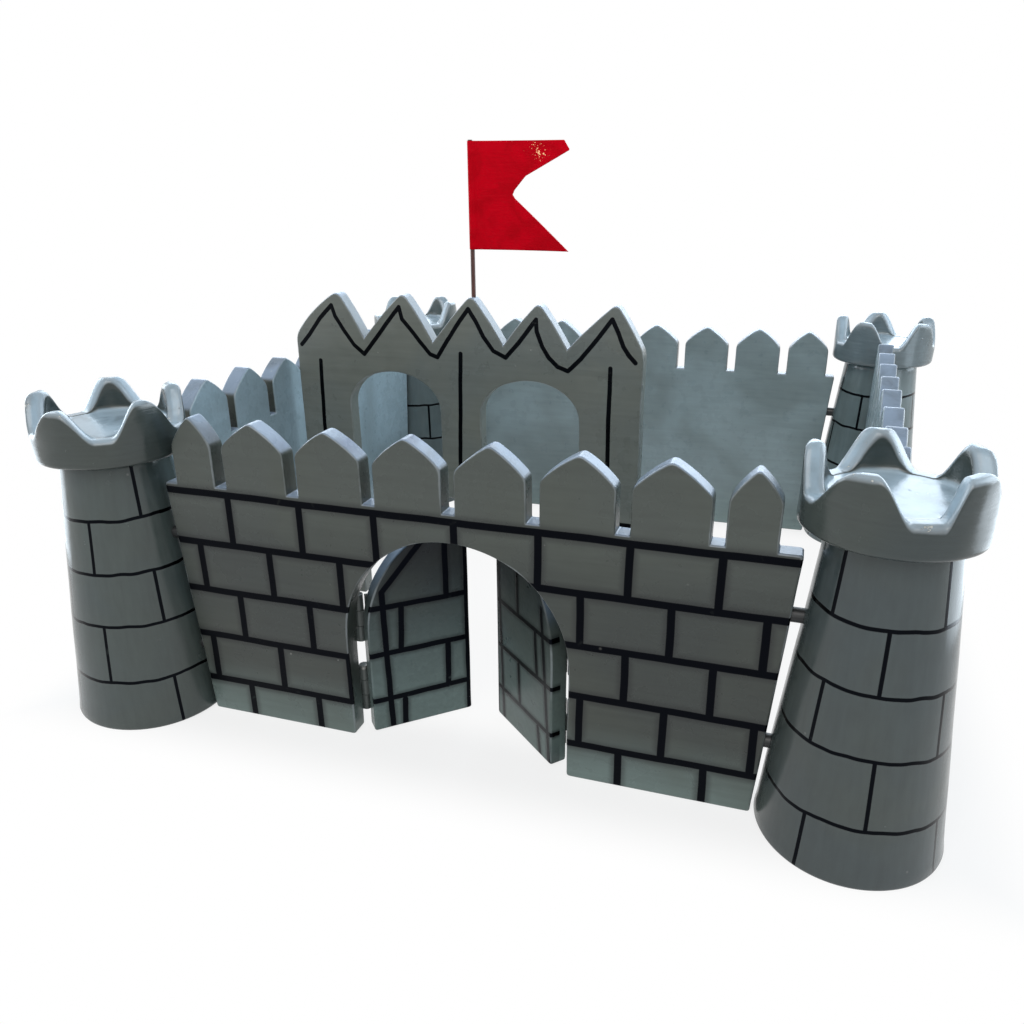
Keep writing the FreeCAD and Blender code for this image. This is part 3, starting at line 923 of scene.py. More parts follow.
@dataclass(frozen=True)
class Enamel:
    """Grey gloss enamel brushed over wood, with its lines, its worn edges and the dust caught in it; some of
    its tones are painted light and shade.
    """

    name: str
    face: Tone
    cloud: Tone
    lines: PlainFace | Brickwork | TowerPen | Strokes = field(default_factory=PlainFace)
    brush: tuple[float, float, float] = (30.0, 500.0, 420.0)
    roughness: float = 0.30
    wear: float = 0.35
    halo_strength: float = 0.55
    # Painted light: the back face's tone; on the walls and the keep a paler one, for the light the court's
    # faces catch.
    inner: Tone | None = None
    thickness: float = 9.5
    relief: float = 0.16
    # Painted light: towards the ground a face is mixed towards this pale tone, for light thrown up from the
    # floor.
    foot: Tone = linear(150, 172, 168)
    bounce_light_share: float = 0.0
    bounce_light_height: float = 45.0
    # Painted light: the face grows lighter towards its top, towards this tone.
    head: Tone | None = None
    head_from: float = 88.0
    head_to: float = 122.0
    # Dust and painted reflection: faces that look up are mixed towards this pale bluish tone, for dust on
    # them and for the sky's sheen painted in.
    dust_and_sheen: Tone = linear(166, 186, 212)
    dust_and_sheen_share: float = 0.72
    # Wear and painted highlight: the pale bluish grey of paint worn thin on the edges, which also stands for
    # the sheen along them.
    rubbed_and_sheen: Tone = linear(160, 166, 170)
    rubbed_and_sheen_strength: float = 0.5
    chip: Tone = linear(206, 205, 198)
    chip_depth: float = 1.5
    speck_strength: float = 0.3
    ink: Tone = linear(7, 9, 15)
    ink_film: float = 0.95
    ink_relief: float = 0.3
    gloss: float = 0.42

    def build(self) -> bpy.types.Material:
        """Build the material.

        The marker's ink dries to a dark, metal-like coat, whose reflection is its own colour. Faces that
        look up are painted paler and bluish, for dust on them and as a painted reflection of the sky.

        Returns:
            The material. It reads "rim" and "up" from the mesh, and "board" on boards or "about" on towers.
        """
        material, graph, shader = new_material(self.name)
        place = graph.place()
        base: object = self.face
        height = graph.split(place)[2]
        # Painted light: lighter towards the top of the face, between head_from and head_to.
        if self.head is not None:
            base = graph.mix(graph.ramp(height, self.head_from * MM, self.head_to * MM), base, self.head)
        # Painted light on the walls and the keep: their back faces take the paler inner tone. The doors' back
        # faces take the plain face tone.
        if self.inner is not None:
            depth = graph.split(graph.attribute("board", vector=True))[1]
            behind = graph.ramp(depth, (self.thickness - 0.9) * MM, (self.thickness - 0.2) * MM)
            base = graph.mix(behind, base, self.inner)
        # Painted light from the floor: lighter towards the ground, up to the set height.
        if self.bounce_light_share:
            low = graph.ramp(height, 0.0, self.bounce_light_height * MM, self.bounce_light_share, 0.0)
            base = graph.mix(low, base, self.foot)
        paint = graph.effect(Effect.BRUSHED, {
            "Place": place, "Base": base, "Cloud": graph.mix(0.45, base, self.cloud), "Brush": self.brush,
            "Roughness": self.roughness})
        colour = paint.outputs["Color"]
        # Dust and painted reflection of the sky: the more a face looks up, the more it takes the pale bluish
        # tone.
        level = graph.ramp(graph.attribute("up"), 0.25, 0.85, 0.0, self.dust_and_sheen_share)
        patches = graph.ramp(graph.noise(place, 60.0, 4.0, 0.5), 0.2, 0.6, 0.45, 1.0)
        colour = graph.mix(graph.math("MULTIPLY", level, patches), colour, self.dust_and_sheen)
        mask, shadow = self.lines.masks(graph)
        if isinstance(shadow, bpy.types.NodeSocket):
            colour = graph.mix(graph.math("MULTIPLY", shadow, self.halo_strength), colour, self.ink)
        rim = graph.attribute("rim")
        wear = graph.effect(Effect.EDGE_WEAR, {"Place": place, "Rim": rim, "Amount": self.wear})
        # Edges are mixed towards a pale bluish grey: paint worn thin, and a painted edge highlight.
        thin = graph.math("MULTIPLY", wear.outputs["Rubbed"], self.rubbed_and_sheen_strength)
        colour = graph.mix(thin, colour, self.rubbed_and_sheen)
        if isinstance(mask, bpy.types.NodeSocket):
            cover = graph.ramp(graph.noise(place, 240.0, 3.0), 0.2, 0.34, 0.72, 0.985)
            colour = graph.mix(graph.math("MULTIPLY", mask, cover), colour, self.ink)
        chipped = wear.outputs["Chipped"]
        colour = graph.mix(chipped, colour, self.chip)
        dust = graph.math("MULTIPLY", paint.outputs["Specks"], self.speck_strength)
        colour = graph.mix(dust, colour, self.chip)
        graph.link(colour, shader.inputs["Base Color"])
        graph.link(paint.outputs["Roughness"], shader.inputs["Roughness"])
        relief = graph.math("MULTIPLY_ADD", chipped, -self.chip_depth, paint.outputs["Height"])
        if isinstance(mask, bpy.types.NodeSocket):
            relief = graph.math("MULTIPLY_ADD", mask, self.ink_relief, relief)
            graph.link(graph.math("MULTIPLY", mask, self.ink_film), shader.inputs["Metallic"])
        bump = graph.node("ShaderNodeBump", {"Height": relief, "Strength": 1.0, "Distance": self.relief * MM})
        graph.link(bump.outputs[0], shader.inputs["Normal"])
        shader.inputs["Specular IOR Level"].default_value = self.gloss
        return material


@dataclass(frozen=True)
class PaintedMetal:
    """A small steel hinge brushed over with the same enamel, bare where it rubs."""

    name: str
    paint: Tone = linear(82, 88, 86)
    cloud: Tone = linear(60, 64, 62)
    steel: Tone = linear(150, 150, 146)
    roughness: float = 0.32
    bare_from: tuple[float, float] = (0.58, 0.66)
    bare_metal: float = 0.85
    relief: float = 0.15

    def build(self) -> bpy.types.Material:
        """Build the material: paint and steel parted by noise, with the steel metallic."""
        material, graph, shader = new_material(self.name)
        place = graph.place()
        paint = graph.effect(Effect.BRUSHED, {
            "Place": place, "Base": self.paint, "Cloud": self.cloud, "Brush": (500.0, 500.0, 60.0),
            "Roughness": self.roughness})
        bare = graph.ramp(graph.noise(place, 210.0, 4.0, 0.4), *self.bare_from)
        graph.link(graph.mix(bare, paint.outputs["Color"], self.steel), shader.inputs["Base Color"])
        graph.link(graph.math("MULTIPLY", bare, self.bare_metal), shader.inputs["Metallic"])
        graph.link(paint.outputs["Roughness"], shader.inputs["Roughness"])
        bump = graph.node("ShaderNodeBump", {"Height": paint.outputs["Height"], "Distance": self.relief * MM})
        graph.link(bump.outputs[0], shader.inputs["Normal"])
        return material


@dataclass(frozen=True)
class TurnedWood:
    """Round wood with its grain along one way: the stained flag stick, the dowels and the painted pins."""

    name: str
    light: Tone
    dark: Tone
    grain: tuple[float, float, float] = (900.0, 900.0, 60.0)
    roughness: float = 0.45
    roughness_swing: float = 0.12
    relief: float = 0.12

    def build(self) -> bpy.types.Material:
        """Build the material: two tones parted by noise drawn out along the grain."""
        material, graph, shader = new_material(self.name)
        place = graph.place()
        fibre = graph.noise(graph.vector("MULTIPLY", place, self.grain), 1.0, 4.0, 0.3)
        colour = graph.mix(graph.ramp(fibre, 0.35, 0.65), self.light, self.dark)
        graph.link(colour, shader.inputs["Base Color"])
        smooth = self.roughness - self.roughness_swing
        rough = self.roughness + self.roughness_swing
        graph.link(graph.ramp(fibre, 0.2, 0.8, smooth, rough), shader.inputs["Roughness"])
        bump = graph.node("ShaderNodeBump", {"Height": fibre, "Distance": self.relief * MM})
        graph.link(bump.outputs[0], shader.inputs["Normal"])
        return material


@dataclass(frozen=True)
class Tape:
    """Glossy red cloth tape: a fine weave under a plastic skin, with creases and small bubbles."""

    name: str
    red: Tone = linear(219, 0, 26)
    deep: Tone = linear(196, 0, 20)
    # Painted highlight: the colour of pale metallic specks placed where the tape shines.
    painted_glint: Tone = linear(250, 196, 150)
    glint_place: tuple[float, float] = (-13.9, 261.5)
    glint_size: tuple[float, float] = (4.6, 7.0)
    glint_lean: float = 0.6
    glint_falloff: float = 0.13
    glint_from: tuple[float, float] = (0.555, 0.61)
    speck_scale: float = 1100.0
    thread: float = 0.62
    relief: float = 0.22
    gloss: float = 0.04

    def painted_glints(self, graph: Graph, place: Socket, across: Socket, height: Socket) -> Socket:
        """Painted highlight: pale metallic specks where the tape shines, as fine noise in an ellipse on the
        fly.

        Args:
            graph: The material's graph.
            place: The object's coordinates.
            across: Their first part.
            height: Their last part.

        Returns:
            The specks' mask.
        """
        aside = graph.math("SUBTRACT", across, self.glint_place[0] * MM)
        above = graph.math("SUBTRACT", height, self.glint_place[1] * MM)
        aside = graph.math("DIVIDE", aside, self.glint_size[0] * MM)
        above = graph.math("DIVIDE", above, self.glint_size[1] * MM)
        leaning = graph.math("ADD", aside, graph.math("MULTIPLY", above, self.glint_lean))
        far = graph.measure("LENGTH", graph.join(leaning, above, 0.0))
        speck = graph.noise(place, self.speck_scale, 2.0)
        return graph.ramp(graph.math("MULTIPLY_ADD", far, -self.glint_falloff, speck), *self.glint_from)

    def build(self) -> bpy.types.Material:
        """Build the material: crossed sine ridges for the weave, and noise for creases and bubbles."""
        material, graph, shader = new_material(self.name)
        place = graph.place()
        across, _, height = graph.split(place)
        turns = 2 * math.pi / (self.thread * MM)
        warp = graph.math("SINE", graph.math("MULTIPLY", across, turns))
        weft = graph.math("SINE", graph.math("MULTIPLY", height, turns))
        weave = graph.math("MULTIPLY_ADD", graph.math("ADD", warp, weft), 0.25, 0.5)
        patch = graph.noise(place, 70.0, 4.0, 1.2)
        crease = graph.noise(graph.vector("MULTIPLY", place, (90.0, 200.0, 640.0)), 1.0, 3.0, 0.8)
        colour = graph.mix(graph.ramp(patch, 0.35, 0.7), self.red, self.deep)
        colour = graph.mix(graph.math("MULTIPLY", weave, 0.14), colour, self.deep)
        # Painted highlight: pale metallic specks at a set place on the fly.
        painted_glint = self.painted_glints(graph, place, across, height)
        graph.link(graph.mix(painted_glint, colour, self.painted_glint), shader.inputs["Base Color"])
        graph.link(painted_glint, shader.inputs["Metallic"])
        graph.link(graph.ramp(patch, 0.3, 0.8, 0.24, 0.42), shader.inputs["Roughness"])
        relief = graph.math("MULTIPLY_ADD", weave, 0.3, graph.math("MULTIPLY", crease, 0.8))
        relief = graph.math("MULTIPLY_ADD", patch, 1.2, relief)
        bump = graph.node("ShaderNodeBump", {"Height": relief, "Distance": self.relief * MM})
        graph.link(bump.outputs[0], shader.inputs["Normal"])
        shader.inputs["Specular IOR Level"].default_value = self.gloss
        return material


# Sub-assemblies


@dataclass
class Plan:
    """Where the towers stand and how high they are, read from the frame and given in millimetres."""

    towers: dict[str, np.ndarray]
    tops: dict[str, float]

    @classmethod
    def from_frame(cls) -> "Plan":
        """Read the towers' axes and heights from their boxes.

        Returns:
            The plan.
        """
        towers = {}
        tops = {}
        for name in ("front_left", "front_right", "back_right", "back_left"):
            low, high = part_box("tower_" + name)
            towers[name] = np.array([(low[0] + high[0]) / 2, (low[1] + high[1]) / 2, 0.0]) / MM
            tops[name] = high[2] / MM
        return cls(towers, tops)

    def wall(self, first: str, second: str) -> tuple[np.ndarray, float, float]:
        """The middle, the length and the direction in degrees of the run between two towers.

        Args:
            first: The tower at the run's left end, seen from outside.
            second: The tower at its right end.

        Returns:
            Middle, length and direction.
        """
        start, end = self.towers[first], self.towers[second]
        run = end - start
        return (start + end) / 2, float(np.linalg.norm(run)), math.degrees(math.atan2(run[1], run[0]))


@dataclass
class Wall:
    """One wall board with its row of pointed merlons, and with the gate if it is the front one."""

    side: str
    first: str
    second: str
    finish: Enamel
    merlon_shift: float = 0.0
    has_gate: bool = False
    thickness: float = 9.5
    notch_height: float = 119.5
    shoulder_height: float = 138.3
    peak_height: float = 151.0
    merlon_width: float = 31.0
    notch_width: float = 5.65
    end_step: float = 6.4
    right_end_step: float = 6.4
    least_merlon: float = 8.0
    slope_bow: float = 0.9
    ground_cut: float = 1.2
    end_cut: float = 1.6
    notch_cut: float = 0.8
    shoulder_cut: float = 3.4
    peak_cut: float = 2.6
    peak_spread: float = 0.35
    peak_drop: float = 0.2
    shoulder_spread: float = 0.4
    gap_top: float = 5.0
    gap_bottom: float = 1.4
    gate_width: float = 105.0
    gate_spring: float = 54.0
    gate_offset: float = -0.9
    tower_base: float = 37.3
    tower_top: float = 23.4
    tower_height: float = 132.5
    seed: float = 0.0

    def ends(self, length: float) -> tuple[float, float]:
        """Half the board's length at the height of its notches and on the ground."""
        radius = self.tower_base + (self.tower_top - self.tower_base) * self.notch_height / self.tower_height
        return length / 2 - radius - self.gap_top, length / 2 - self.tower_base - self.gap_bottom

    def spans(self, top: float) -> list[tuple[float, float]]:
        """Left and right edge of each merlon, laid out from the middle and trimmed at the board's ends.

        Args:
            top: Half the board's length at the height of its notches.

        Returns:
            The edges, from left to right.
        """
        left_limit = self.end_step - top
        right_limit = top - self.right_end_step
        pitch = self.merlon_width + self.notch_width
        reach = int(top / pitch) + 2
        middles = self.merlon_shift + (np.arange(-reach, reach + 1) + 0.5) * pitch
        low = np.maximum(middles - self.merlon_width / 2, left_limit)
        high = np.minimum(middles + self.merlon_width / 2, right_limit)
        return [(a, b) for a, b in zip(low.tolist(), high.tolist()) if b - a >= self.least_merlon]

    def outline(self, top: float, bottom: float) -> Outline:
        """The board's outline: the ground, the gate if it has one, the right end, the merlons, the left end.

        Args:
            top: Half the board's length at the height of its notches.
            bottom: Half its length on the ground.

        Returns:
            The outline.
        """
        drawn = Outline().add(-bottom, 0.0, self.ground_cut)
        if self.has_gate:
            half = self.gate_width / 2
            drawn.add(self.gate_offset - half, 0.0, self.end_cut)
            drawn.curve(arch(self.gate_offset, half, self.gate_spring, self.gate_spring + half, 0.0))
            drawn.add(self.gate_offset + half, 0.0, self.end_cut)
        drawn.add(bottom, 0.0, self.ground_cut).add(top, self.notch_height, self.end_cut)
        random = np.random.default_rng(int(100 + 10 * self.seed))
        for low, high in reversed(self.spans(top)):
            lean, rise = random.normal(0.0, self.peak_spread, 2)
            peak = ((low + high) / 2 + lean, self.peak_height + rise - self.peak_drop)
            right = (high, self.shoulder_height + random.normal(0.0, self.shoulder_spread))
            left = (low, self.shoulder_height + random.normal(0.0, self.shoulder_spread))
            drawn.add(high, self.notch_height, self.notch_cut).add(*right, self.shoulder_cut)
            drawn.curve(bow(right, peak, self.slope_bow)).add(*peak, self.peak_cut)
            drawn.curve(bow(peak, left, self.slope_bow)).add(*left, self.shoulder_cut)
            drawn.add(low, self.notch_height, self.notch_cut)
        return drawn.add(-top, self.notch_height, self.end_cut)

    def build(self, plan: Plan) -> bpy.types.Object:
        """Build the wall in its place and hide the plain node that it stands for.

        Args:
            plan: Where the towers are.

        Returns:
            The wall's object.
        """
        middle, length, direction = plan.wall(self.first, self.second)
        top, bottom = self.ends(length)
        board = Board(self.thickness, seed=self.seed)
        shape = board.shape(self.outline(top, bottom)).turned(direction, middle)
        made = shape.piece(self.side + "_wall_painted", self.finish.build())
        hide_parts(self.side + "_wall")
        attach(made, "root")
        return made


@dataclass
class GateDoor:
    """One door of the gate: half of the round head, standing open on its hinges."""

    hand: str
    finish: Enamel
    wall: Wall
    thickness: float = 8.5
    hinge_side_gap: float = 1.6
    meeting_gap: float = 2.4
    floor_gap: float = 0.6
    pin_behind: float = 2.2
    open_angle: float = 42.0
    corner_cut: float = 1.2
    head_cut: float = 0.9
    head_points: int = 13

    def outline(self) -> Outline:
        """The left door's outline about its hinge pin, when shut; its head is concentric with the gate's."""
        near = self.hinge_side_gap / 2
        far = near + (self.wall.gate_width - 2 * self.hinge_side_gap - self.meeting_gap) / 2
        radius = self.wall.gate_width / 2 - self.hinge_side_gap
        middle = far + self.meeting_gap / 2
        spring = self.wall.gate_spring
        end = math.degrees(math.acos((far - middle) / radius))
        head = arch(middle, radius, spring, spring + radius, end, self.head_points)
        drawn = Outline().add(near, self.floor_gap, self.corner_cut).add(far, self.floor_gap, self.corner_cut)
        drawn.add(*head[-1].tolist(), self.head_cut)
        return drawn.curve(head[::-1][1:])

    def build(self, plan: Plan) -> bpy.types.Object:
        """Build the door in its place, standing open.

        Args:
            plan: Where the towers are.

        Returns:
            The door's object.
        """
        middle, _, _ = plan.wall(self.wall.first, self.wall.second)
        left = self.hand == "left"
        side = -1.0 if left else 1.0
        offset = self.wall.gate_offset + side * (self.wall.gate_width - self.hinge_side_gap) / 2
        pivot = middle + np.array([offset, self.wall.thickness / 2 + self.pin_behind, 0.0])
        outline = self.outline() if left else self.outline().mirrored()
        board = Board(self.thickness, edge_round=1.1, unevenness=0.12, seed=3.0 if left else 5.0)
        shape = board.shape(outline, flip_along=not left)
        shape.vertices[:, 1] -= self.pin_behind + self.thickness / 2
        shape.turned(self.open_angle if left else -self.open_angle, pivot)
        made = shape.piece(f"gate_door_{self.hand}_painted", self.finish.build())
        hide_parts("gate_door_" + self.hand)
        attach(made, "gate_" + self.hand)
        return made


@dataclass
class KeepBoard:
    """The inner board: five pointed peaks, two round-headed openings and a short post between them."""

    finish: Enamel
    thickness: float = 9.5
    peak_height: float = 189.0
    valley_height: float = 164.2
    peaks: int = 5
    pitch: float = 40.9
    first_peak: float = 29.0
    peak_leans: tuple[float, ...] = (0.0, 0.0, 0.0, -2.6, -0.9)
    valley_leans: tuple[float, ...] = (-5.0, -3.2, -2.3, -6.8)
    peak_lifts: tuple[float, ...] = (1.0, 1.6, 1.8, -0.8, 0.4)
    left_post: float = 33.0
    right_post: float = 34.5
    centre_post: float = 25.0
    spring: float = 125.0
    crown: float = 145.6
    post_foot: float = 72.0
    slope_bow: float = 0.7
    end_bow: float = 2.2
    slope_points: int = 3
    ground_cut: float = 1.2
    jamb_cut: float = 1.4
    peak_cut: float = 4.6
    valley_cut: float = 0.9
    end_cut: float = 4.0
    seed: float = 2.0

    def outline(self, width: float) -> Outline:
        """The board's outline, measured from its left edge.

        Args:
            width: The board's width.

        Returns:
            The outline: the posts' feet and the openings, then the peaks from right to left.
        """
        middle = self.left_post + (width - self.left_post - self.right_post) / 2
        half = self.centre_post / 2
        drawn = Outline().add(0.0, 0.0, self.ground_cut)
        for low, high in ((self.left_post, middle - half), (middle + half, width - self.right_post)):
            ground = (0.0, self.post_foot) if low < middle else (self.post_foot, 0.0)
            drawn.add(low, ground[0], self.jamb_cut)
            drawn.curve(arch((low + high) / 2, (high - low) / 2, self.spring, self.crown, 0.0))
            drawn.add(high, ground[1], self.jamb_cut)
        drawn.add(width, 0.0, self.ground_cut).add(width, self.valley_height, self.end_cut)
        last: tuple[float, float] = (width, self.valley_height)
        for number in reversed(range(self.peaks)):
            middle = self.first_peak + number * self.pitch
            peak = (middle + self.peak_leans[number], self.peak_height + self.peak_lifts[number])
            valley = middle - self.pitch / 2 + self.valley_leans[number - 1] if number else 0.0
            left = (valley, self.valley_height)
            left_bow = self.slope_bow if number else self.end_bow
            drawn.curve(bow(last, peak, self.slope_bow, self.slope_points)).add(*peak, self.peak_cut)
            drawn.curve(bow(peak, left, left_bow, self.slope_points))
            drawn.add(*left, self.valley_cut if number else self.end_cut)
            last = left
        return drawn

    def build(self) -> bpy.types.Object:
        """Build the board where its node stands.

        Returns:
            The board's object.
        """
        low, high = (np.array(corner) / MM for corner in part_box("keep_board"))
        board = Board(self.thickness, seed=self.seed)
        place = (low[0], (low[1] + high[1]) / 2, 0.0)
        shape = board.shape(self.outline(high[0] - low[0])).turned(0.0, place)
        made = shape.piece("keep_board_painted", self.finish.build())
        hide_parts("keep_board")
        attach(made, "root")
        return made


@dataclass
class Tower:
    """One turned tower: a solid cone with a softened foot."""

    name: str
    finish: Enamel
    base_radius: float = 37.3
    top_radius: float = 23.4
    full_height: float = 132.5
    foot_round: float = 1.8
    foot_wear: float = 1.6
    top_cut: float = 0.6
    swell: float = 0.3
    swell_length: float = 70.0
    levels: int = 34
    around: int = 160
    seed: float = 0.0

    def build(self, plan: Plan) -> bpy.types.Object:
        """Revolve the tower's profile and set it on its axis.

        A point is radius(s) * (cos a, sin a) at height(s), where s runs up the profile from the middle of
        the foot to the middle of the top, and smooth unevenness is added to the radius.

        Args:
            plan: Where the towers are.

        Returns:
            The tower's object.
        """
        height = plan.tops[self.name]
        lean = (self.top_radius - self.base_radius) / self.full_height
        turn = np.linspace(-math.pi / 2, 0.0, 6)
        foot_radius = self.base_radius - self.foot_round * (1 - np.cos(turn))
        foot = np.stack([foot_radius, self.foot_round * (1 + np.sin(turn))], axis=-1)
        levels = np.linspace(self.foot_round, height - self.top_cut, self.levels)[1:]
        side = np.stack([self.base_radius + lean * levels, levels], axis=-1)
        centre = [[0.0, 0.0], [self.base_radius * 0.6, 0.0]]
        end = self.base_radius + lean * height
        cap = [[end - self.top_cut, height], [end * 0.5, height], [0.0, height]]
        profile = np.vstack([centre, foot, side, cap])
        angle = np.linspace(0.0, 2 * math.pi, self.around, endpoint=False)
        radius = np.tile(profile[:, 0], self.around)
        level = np.tile(profile[:, 1], self.around)
        spin = np.repeat(angle, len(profile))
        vertices = np.stack([radius * np.cos(spin), radius * np.sin(spin), level], axis=-1)
        swell = wobble(vertices, self.swell_length, self.seed) * self.swell
        swell *= np.clip(radius / self.top_radius - 0.4, 0.0, 1.0)
        vertices[:, :2] *= (1 + swell / np.maximum(radius, 1.0))[:, None]
        faces = grid_faces(self.around, len(profile), True)[:, ::-1]
        near_foot = np.exp(-profile[:, 1] / self.foot_wear) * (profile[:, 0] > self.base_radius * 0.8)
        rim = np.tile(near_foot, self.around)
        shape = Shape(vertices, [faces], None, {"about": vertices * MM}, {"rim": rim})
        shape.turned(0.0, plan.towers[self.name])
        made = shape.piece(f"tower_{self.name}_painted", self.finish.build())
        weld(made)
        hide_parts("tower_" + self.name)
        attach(made, "root")
        return made


def weld(made: bpy.types.Object) -> None:
    """Close a mesh's poles and seams by merging the vertices that lie together.

    Args:
        made: The object, whose mesh is changed.
    """
    work = bmesh.new()
    work.from_mesh(made.data)
    bmesh.ops.remove_doubles(work, verts=work.verts, dist=WELD_DISTANCE)
    work.to_mesh(made.data)
    work.free()
    made.data.update()


@dataclass
class TowerCap:
    """A tower's cap: a flat dish whose rim rises into five rounded merlons."""

    name: str
    turn: float
    finish: Enamel
    valleys: tuple[tuple[float, float, float, float], ...] = ()
    crests: tuple[float, ...] = (0.98, 0.98, 0.98, 0.98, 0.98)
    offset: float = 0.0
    radius: float = 32.8
    height: float = 28.9
    floor: float = 13.0
    rim: float = 7.5
    bottom_round: float = 2.5
    outer_round: float = 2.9
    inner_round: float = 3.0
    foot_round: float = 3.0
    most_round: float = 0.45
    plain_valley: tuple[float, float, float] = (6.0, 22.0, 22.0)
    merlons: int = 5
    lip: float = 0.4
    outer_wear: tuple[float, ...] = (0.3, 1.0, 1.0, 1.0, 0.55)
    inner_wear: tuple[float, ...] = (0.55, 1.0, 1.0, 0.8, 0.2)
    base_rings: tuple[float, ...] = (0.0, 12.0)
    floor_rings: tuple[float, ...] = (20.0, 14.0, 8.0, 3.0, 0.0)
    swell: float = 0.28
    swell_length: float = 26.0
    still_height: float = 4.0
    around: int = 300
    seed: float = 0.0

    def every_valley(self) -> list[tuple[float, float, float, float]]:
        """Each valley's middle, half of its flat bottom, and the widths of its two flanks, in degrees."""
        pitch = 360.0 / self.merlons
        plain = [(self.turn + (number + 0.5) * pitch, *self.plain_valley) for number in range(self.merlons)]
        return [
            min((own for own in self.valleys if abs((own[0] - usual[0] + 180) % 360 - 180) < pitch / 2),
                default=usual)
            for usual in plain]

    def wave(self, angle: np.ndarray, radius: np.ndarray) -> np.ndarray:
        """Height of the wavy edge: the lowest of the smooth steps up both flanks of every valley.

        A valley is cut straight across the rim, so its angles grow inwards as the radius falls.

        Args:
            angle: Angle of each place, anticlockwise from above.
            radius: Its distance from the axis.

        Returns:
            The edge's height above the cap's foot.
        """
        rise: np.ndarray | float = 1.0
        for middle, flat, left, right in self.every_valley():
            off = ((np.degrees(angle) - middle + 180.0) % 360.0 - 180.0) * radius / self.radius
            step = np.clip((np.abs(off) - flat) / np.where(off < 0.0, left, right), 0.0, 1.0)
            rise = np.minimum(rise, step * step * (3 - 2 * step))
        turned = np.degrees(angle) - self.turn
        number = np.floor(turned * self.merlons / 360.0 + 0.5).astype(int) % self.merlons
        uneven = np.array(self.crests)[number] * (1 + 0.02 * np.sin(5 * angle + 2 * self.seed))
        low = self.floor + self.lip
        return low + (self.height - low) * np.minimum(rise * uneven, 1.0)

    def build(self, plan: Plan) -> bpy.types.Object:
        """Revolve the cap's profile, with its top following the wave, and set it on its tower.

        Each profile point is a radius and a height; the rim's points take their height from the wave at
        their own radius and angle, less a quarter circle at the outer and the inner edge.

        Args:
            plan: Where the towers are.

        Returns:
            The cap's object.
        """
        angle = np.linspace(0.0, 2 * math.pi, self.around, endpoint=False)[:, None]
        ones = np.ones_like(angle)
        quarter = np.linspace(0.0, math.pi / 2, 5)[None, :]
        inner = self.radius - self.rim
        columns: list[tuple[np.ndarray, ...]] = []

        def add(radius: np.ndarray, level: np.ndarray, wear: object, up: object) -> None:
            """Add profile points: radius, level, wear and how far they face up, spread over every angle."""
            parts = (radius, level, np.asarray(wear), np.asarray(up))
            shape = np.broadcast_shapes(*(part.shape for part in parts), ones.shape)
            columns.append(tuple(np.broadcast_to(part, shape) for part in parts))

        base_rings = np.array([self.base_rings])
        add(base_rings, np.zeros_like(base_rings), 0.0, 0.0)
        radius = self.radius - self.bottom_round * (1 - np.sin(quarter))
        add(radius, self.bottom_round * (1 - np.cos(quarter)), 0.0, 0.0)
        outer_top = self.wave(angle, self.radius * ones)
        share = np.linspace(0.0, 1.0, 8)[None, 1:-1]
        side = outer_top - self.outer_round - self.bottom_round
        add(self.radius * ones, self.bottom_round + side * share, 0.0, 0.0)
        edge = self.outer_round * (1 - np.cos(quarter))
        level = self.wave(angle, self.radius - edge) - self.outer_round * (1 - np.sin(quarter))
        add(self.radius - edge, level, np.array([self.outer_wear]), np.sin(quarter))
        flat = np.linspace(self.radius - self.outer_round, inner + self.inner_round, 5)[None, 1:-1]
        add(flat, self.wave(angle, flat), 0.5, 1.0)
        inner_top = self.wave(angle, inner * ones)
        rise = np.maximum(inner_top - self.floor, self.lip * 0.5)
        bend = np.minimum(self.inner_round, self.most_round * rise)
        radius = inner + self.inner_round * (1 - np.sin(quarter))
        level = self.wave(angle, radius) - bend * (1 - np.cos(quarter))
        add(radius, level, np.array([self.inner_wear]), np.cos(quarter))
        foot = np.minimum(self.foot_round, self.most_round * rise)
        drop = np.array([[0.3, 0.65]])
        add(inner * ones, inner_top - bend - (rise - bend - foot) * drop, 0.0, 0.0)
        radius = inner - self.foot_round * (1 - np.cos(quarter))
        add(radius, self.floor + foot * (1 - np.sin(quarter)), 0.0, np.sin(quarter))
        floor_rings = np.array([self.floor_rings])
        add(floor_rings, np.full_like(floor_rings, self.floor), 0.0, 1.0)
        radii, levels, wears, ups = (
            np.concatenate([column[part] for column in columns], axis=1) for part in range(4))
        count = radii.shape[1]
        spin = np.broadcast_to(angle, radii.shape)
        vertices = np.stack([radii * np.cos(spin), radii * np.sin(spin), levels], axis=-1).reshape(-1, 3)
        flat_radius = radii.reshape(-1)
        swell = wobble(vertices, self.swell_length, self.seed) * self.swell
        swell *= np.clip(flat_radius / inner, 0.0, 1.0)
        keep = np.clip(vertices[:, 2] / self.still_height, 0.0, 1.0)
        vertices[:, 2] -= np.abs(swell) * keep
        vertices[:, :2] *= (1 + swell / np.maximum(flat_radius, 6.0))[:, None]
        faces = grid_faces(self.around, count, True)[:, ::-1]
        shape = Shape(vertices, [faces], None, {}, {"rim": wears.reshape(-1), "up": ups.reshape(-1)})
        place = plan.towers[self.name] + np.array([self.offset, 0.0, plan.tops[self.name]])
        made = shape.turned(0.0, place).piece(f"cap_{self.name}_painted", self.finish.build())
        weld(made)
        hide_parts("cap_" + self.name)
        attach(made, "root")
        return made


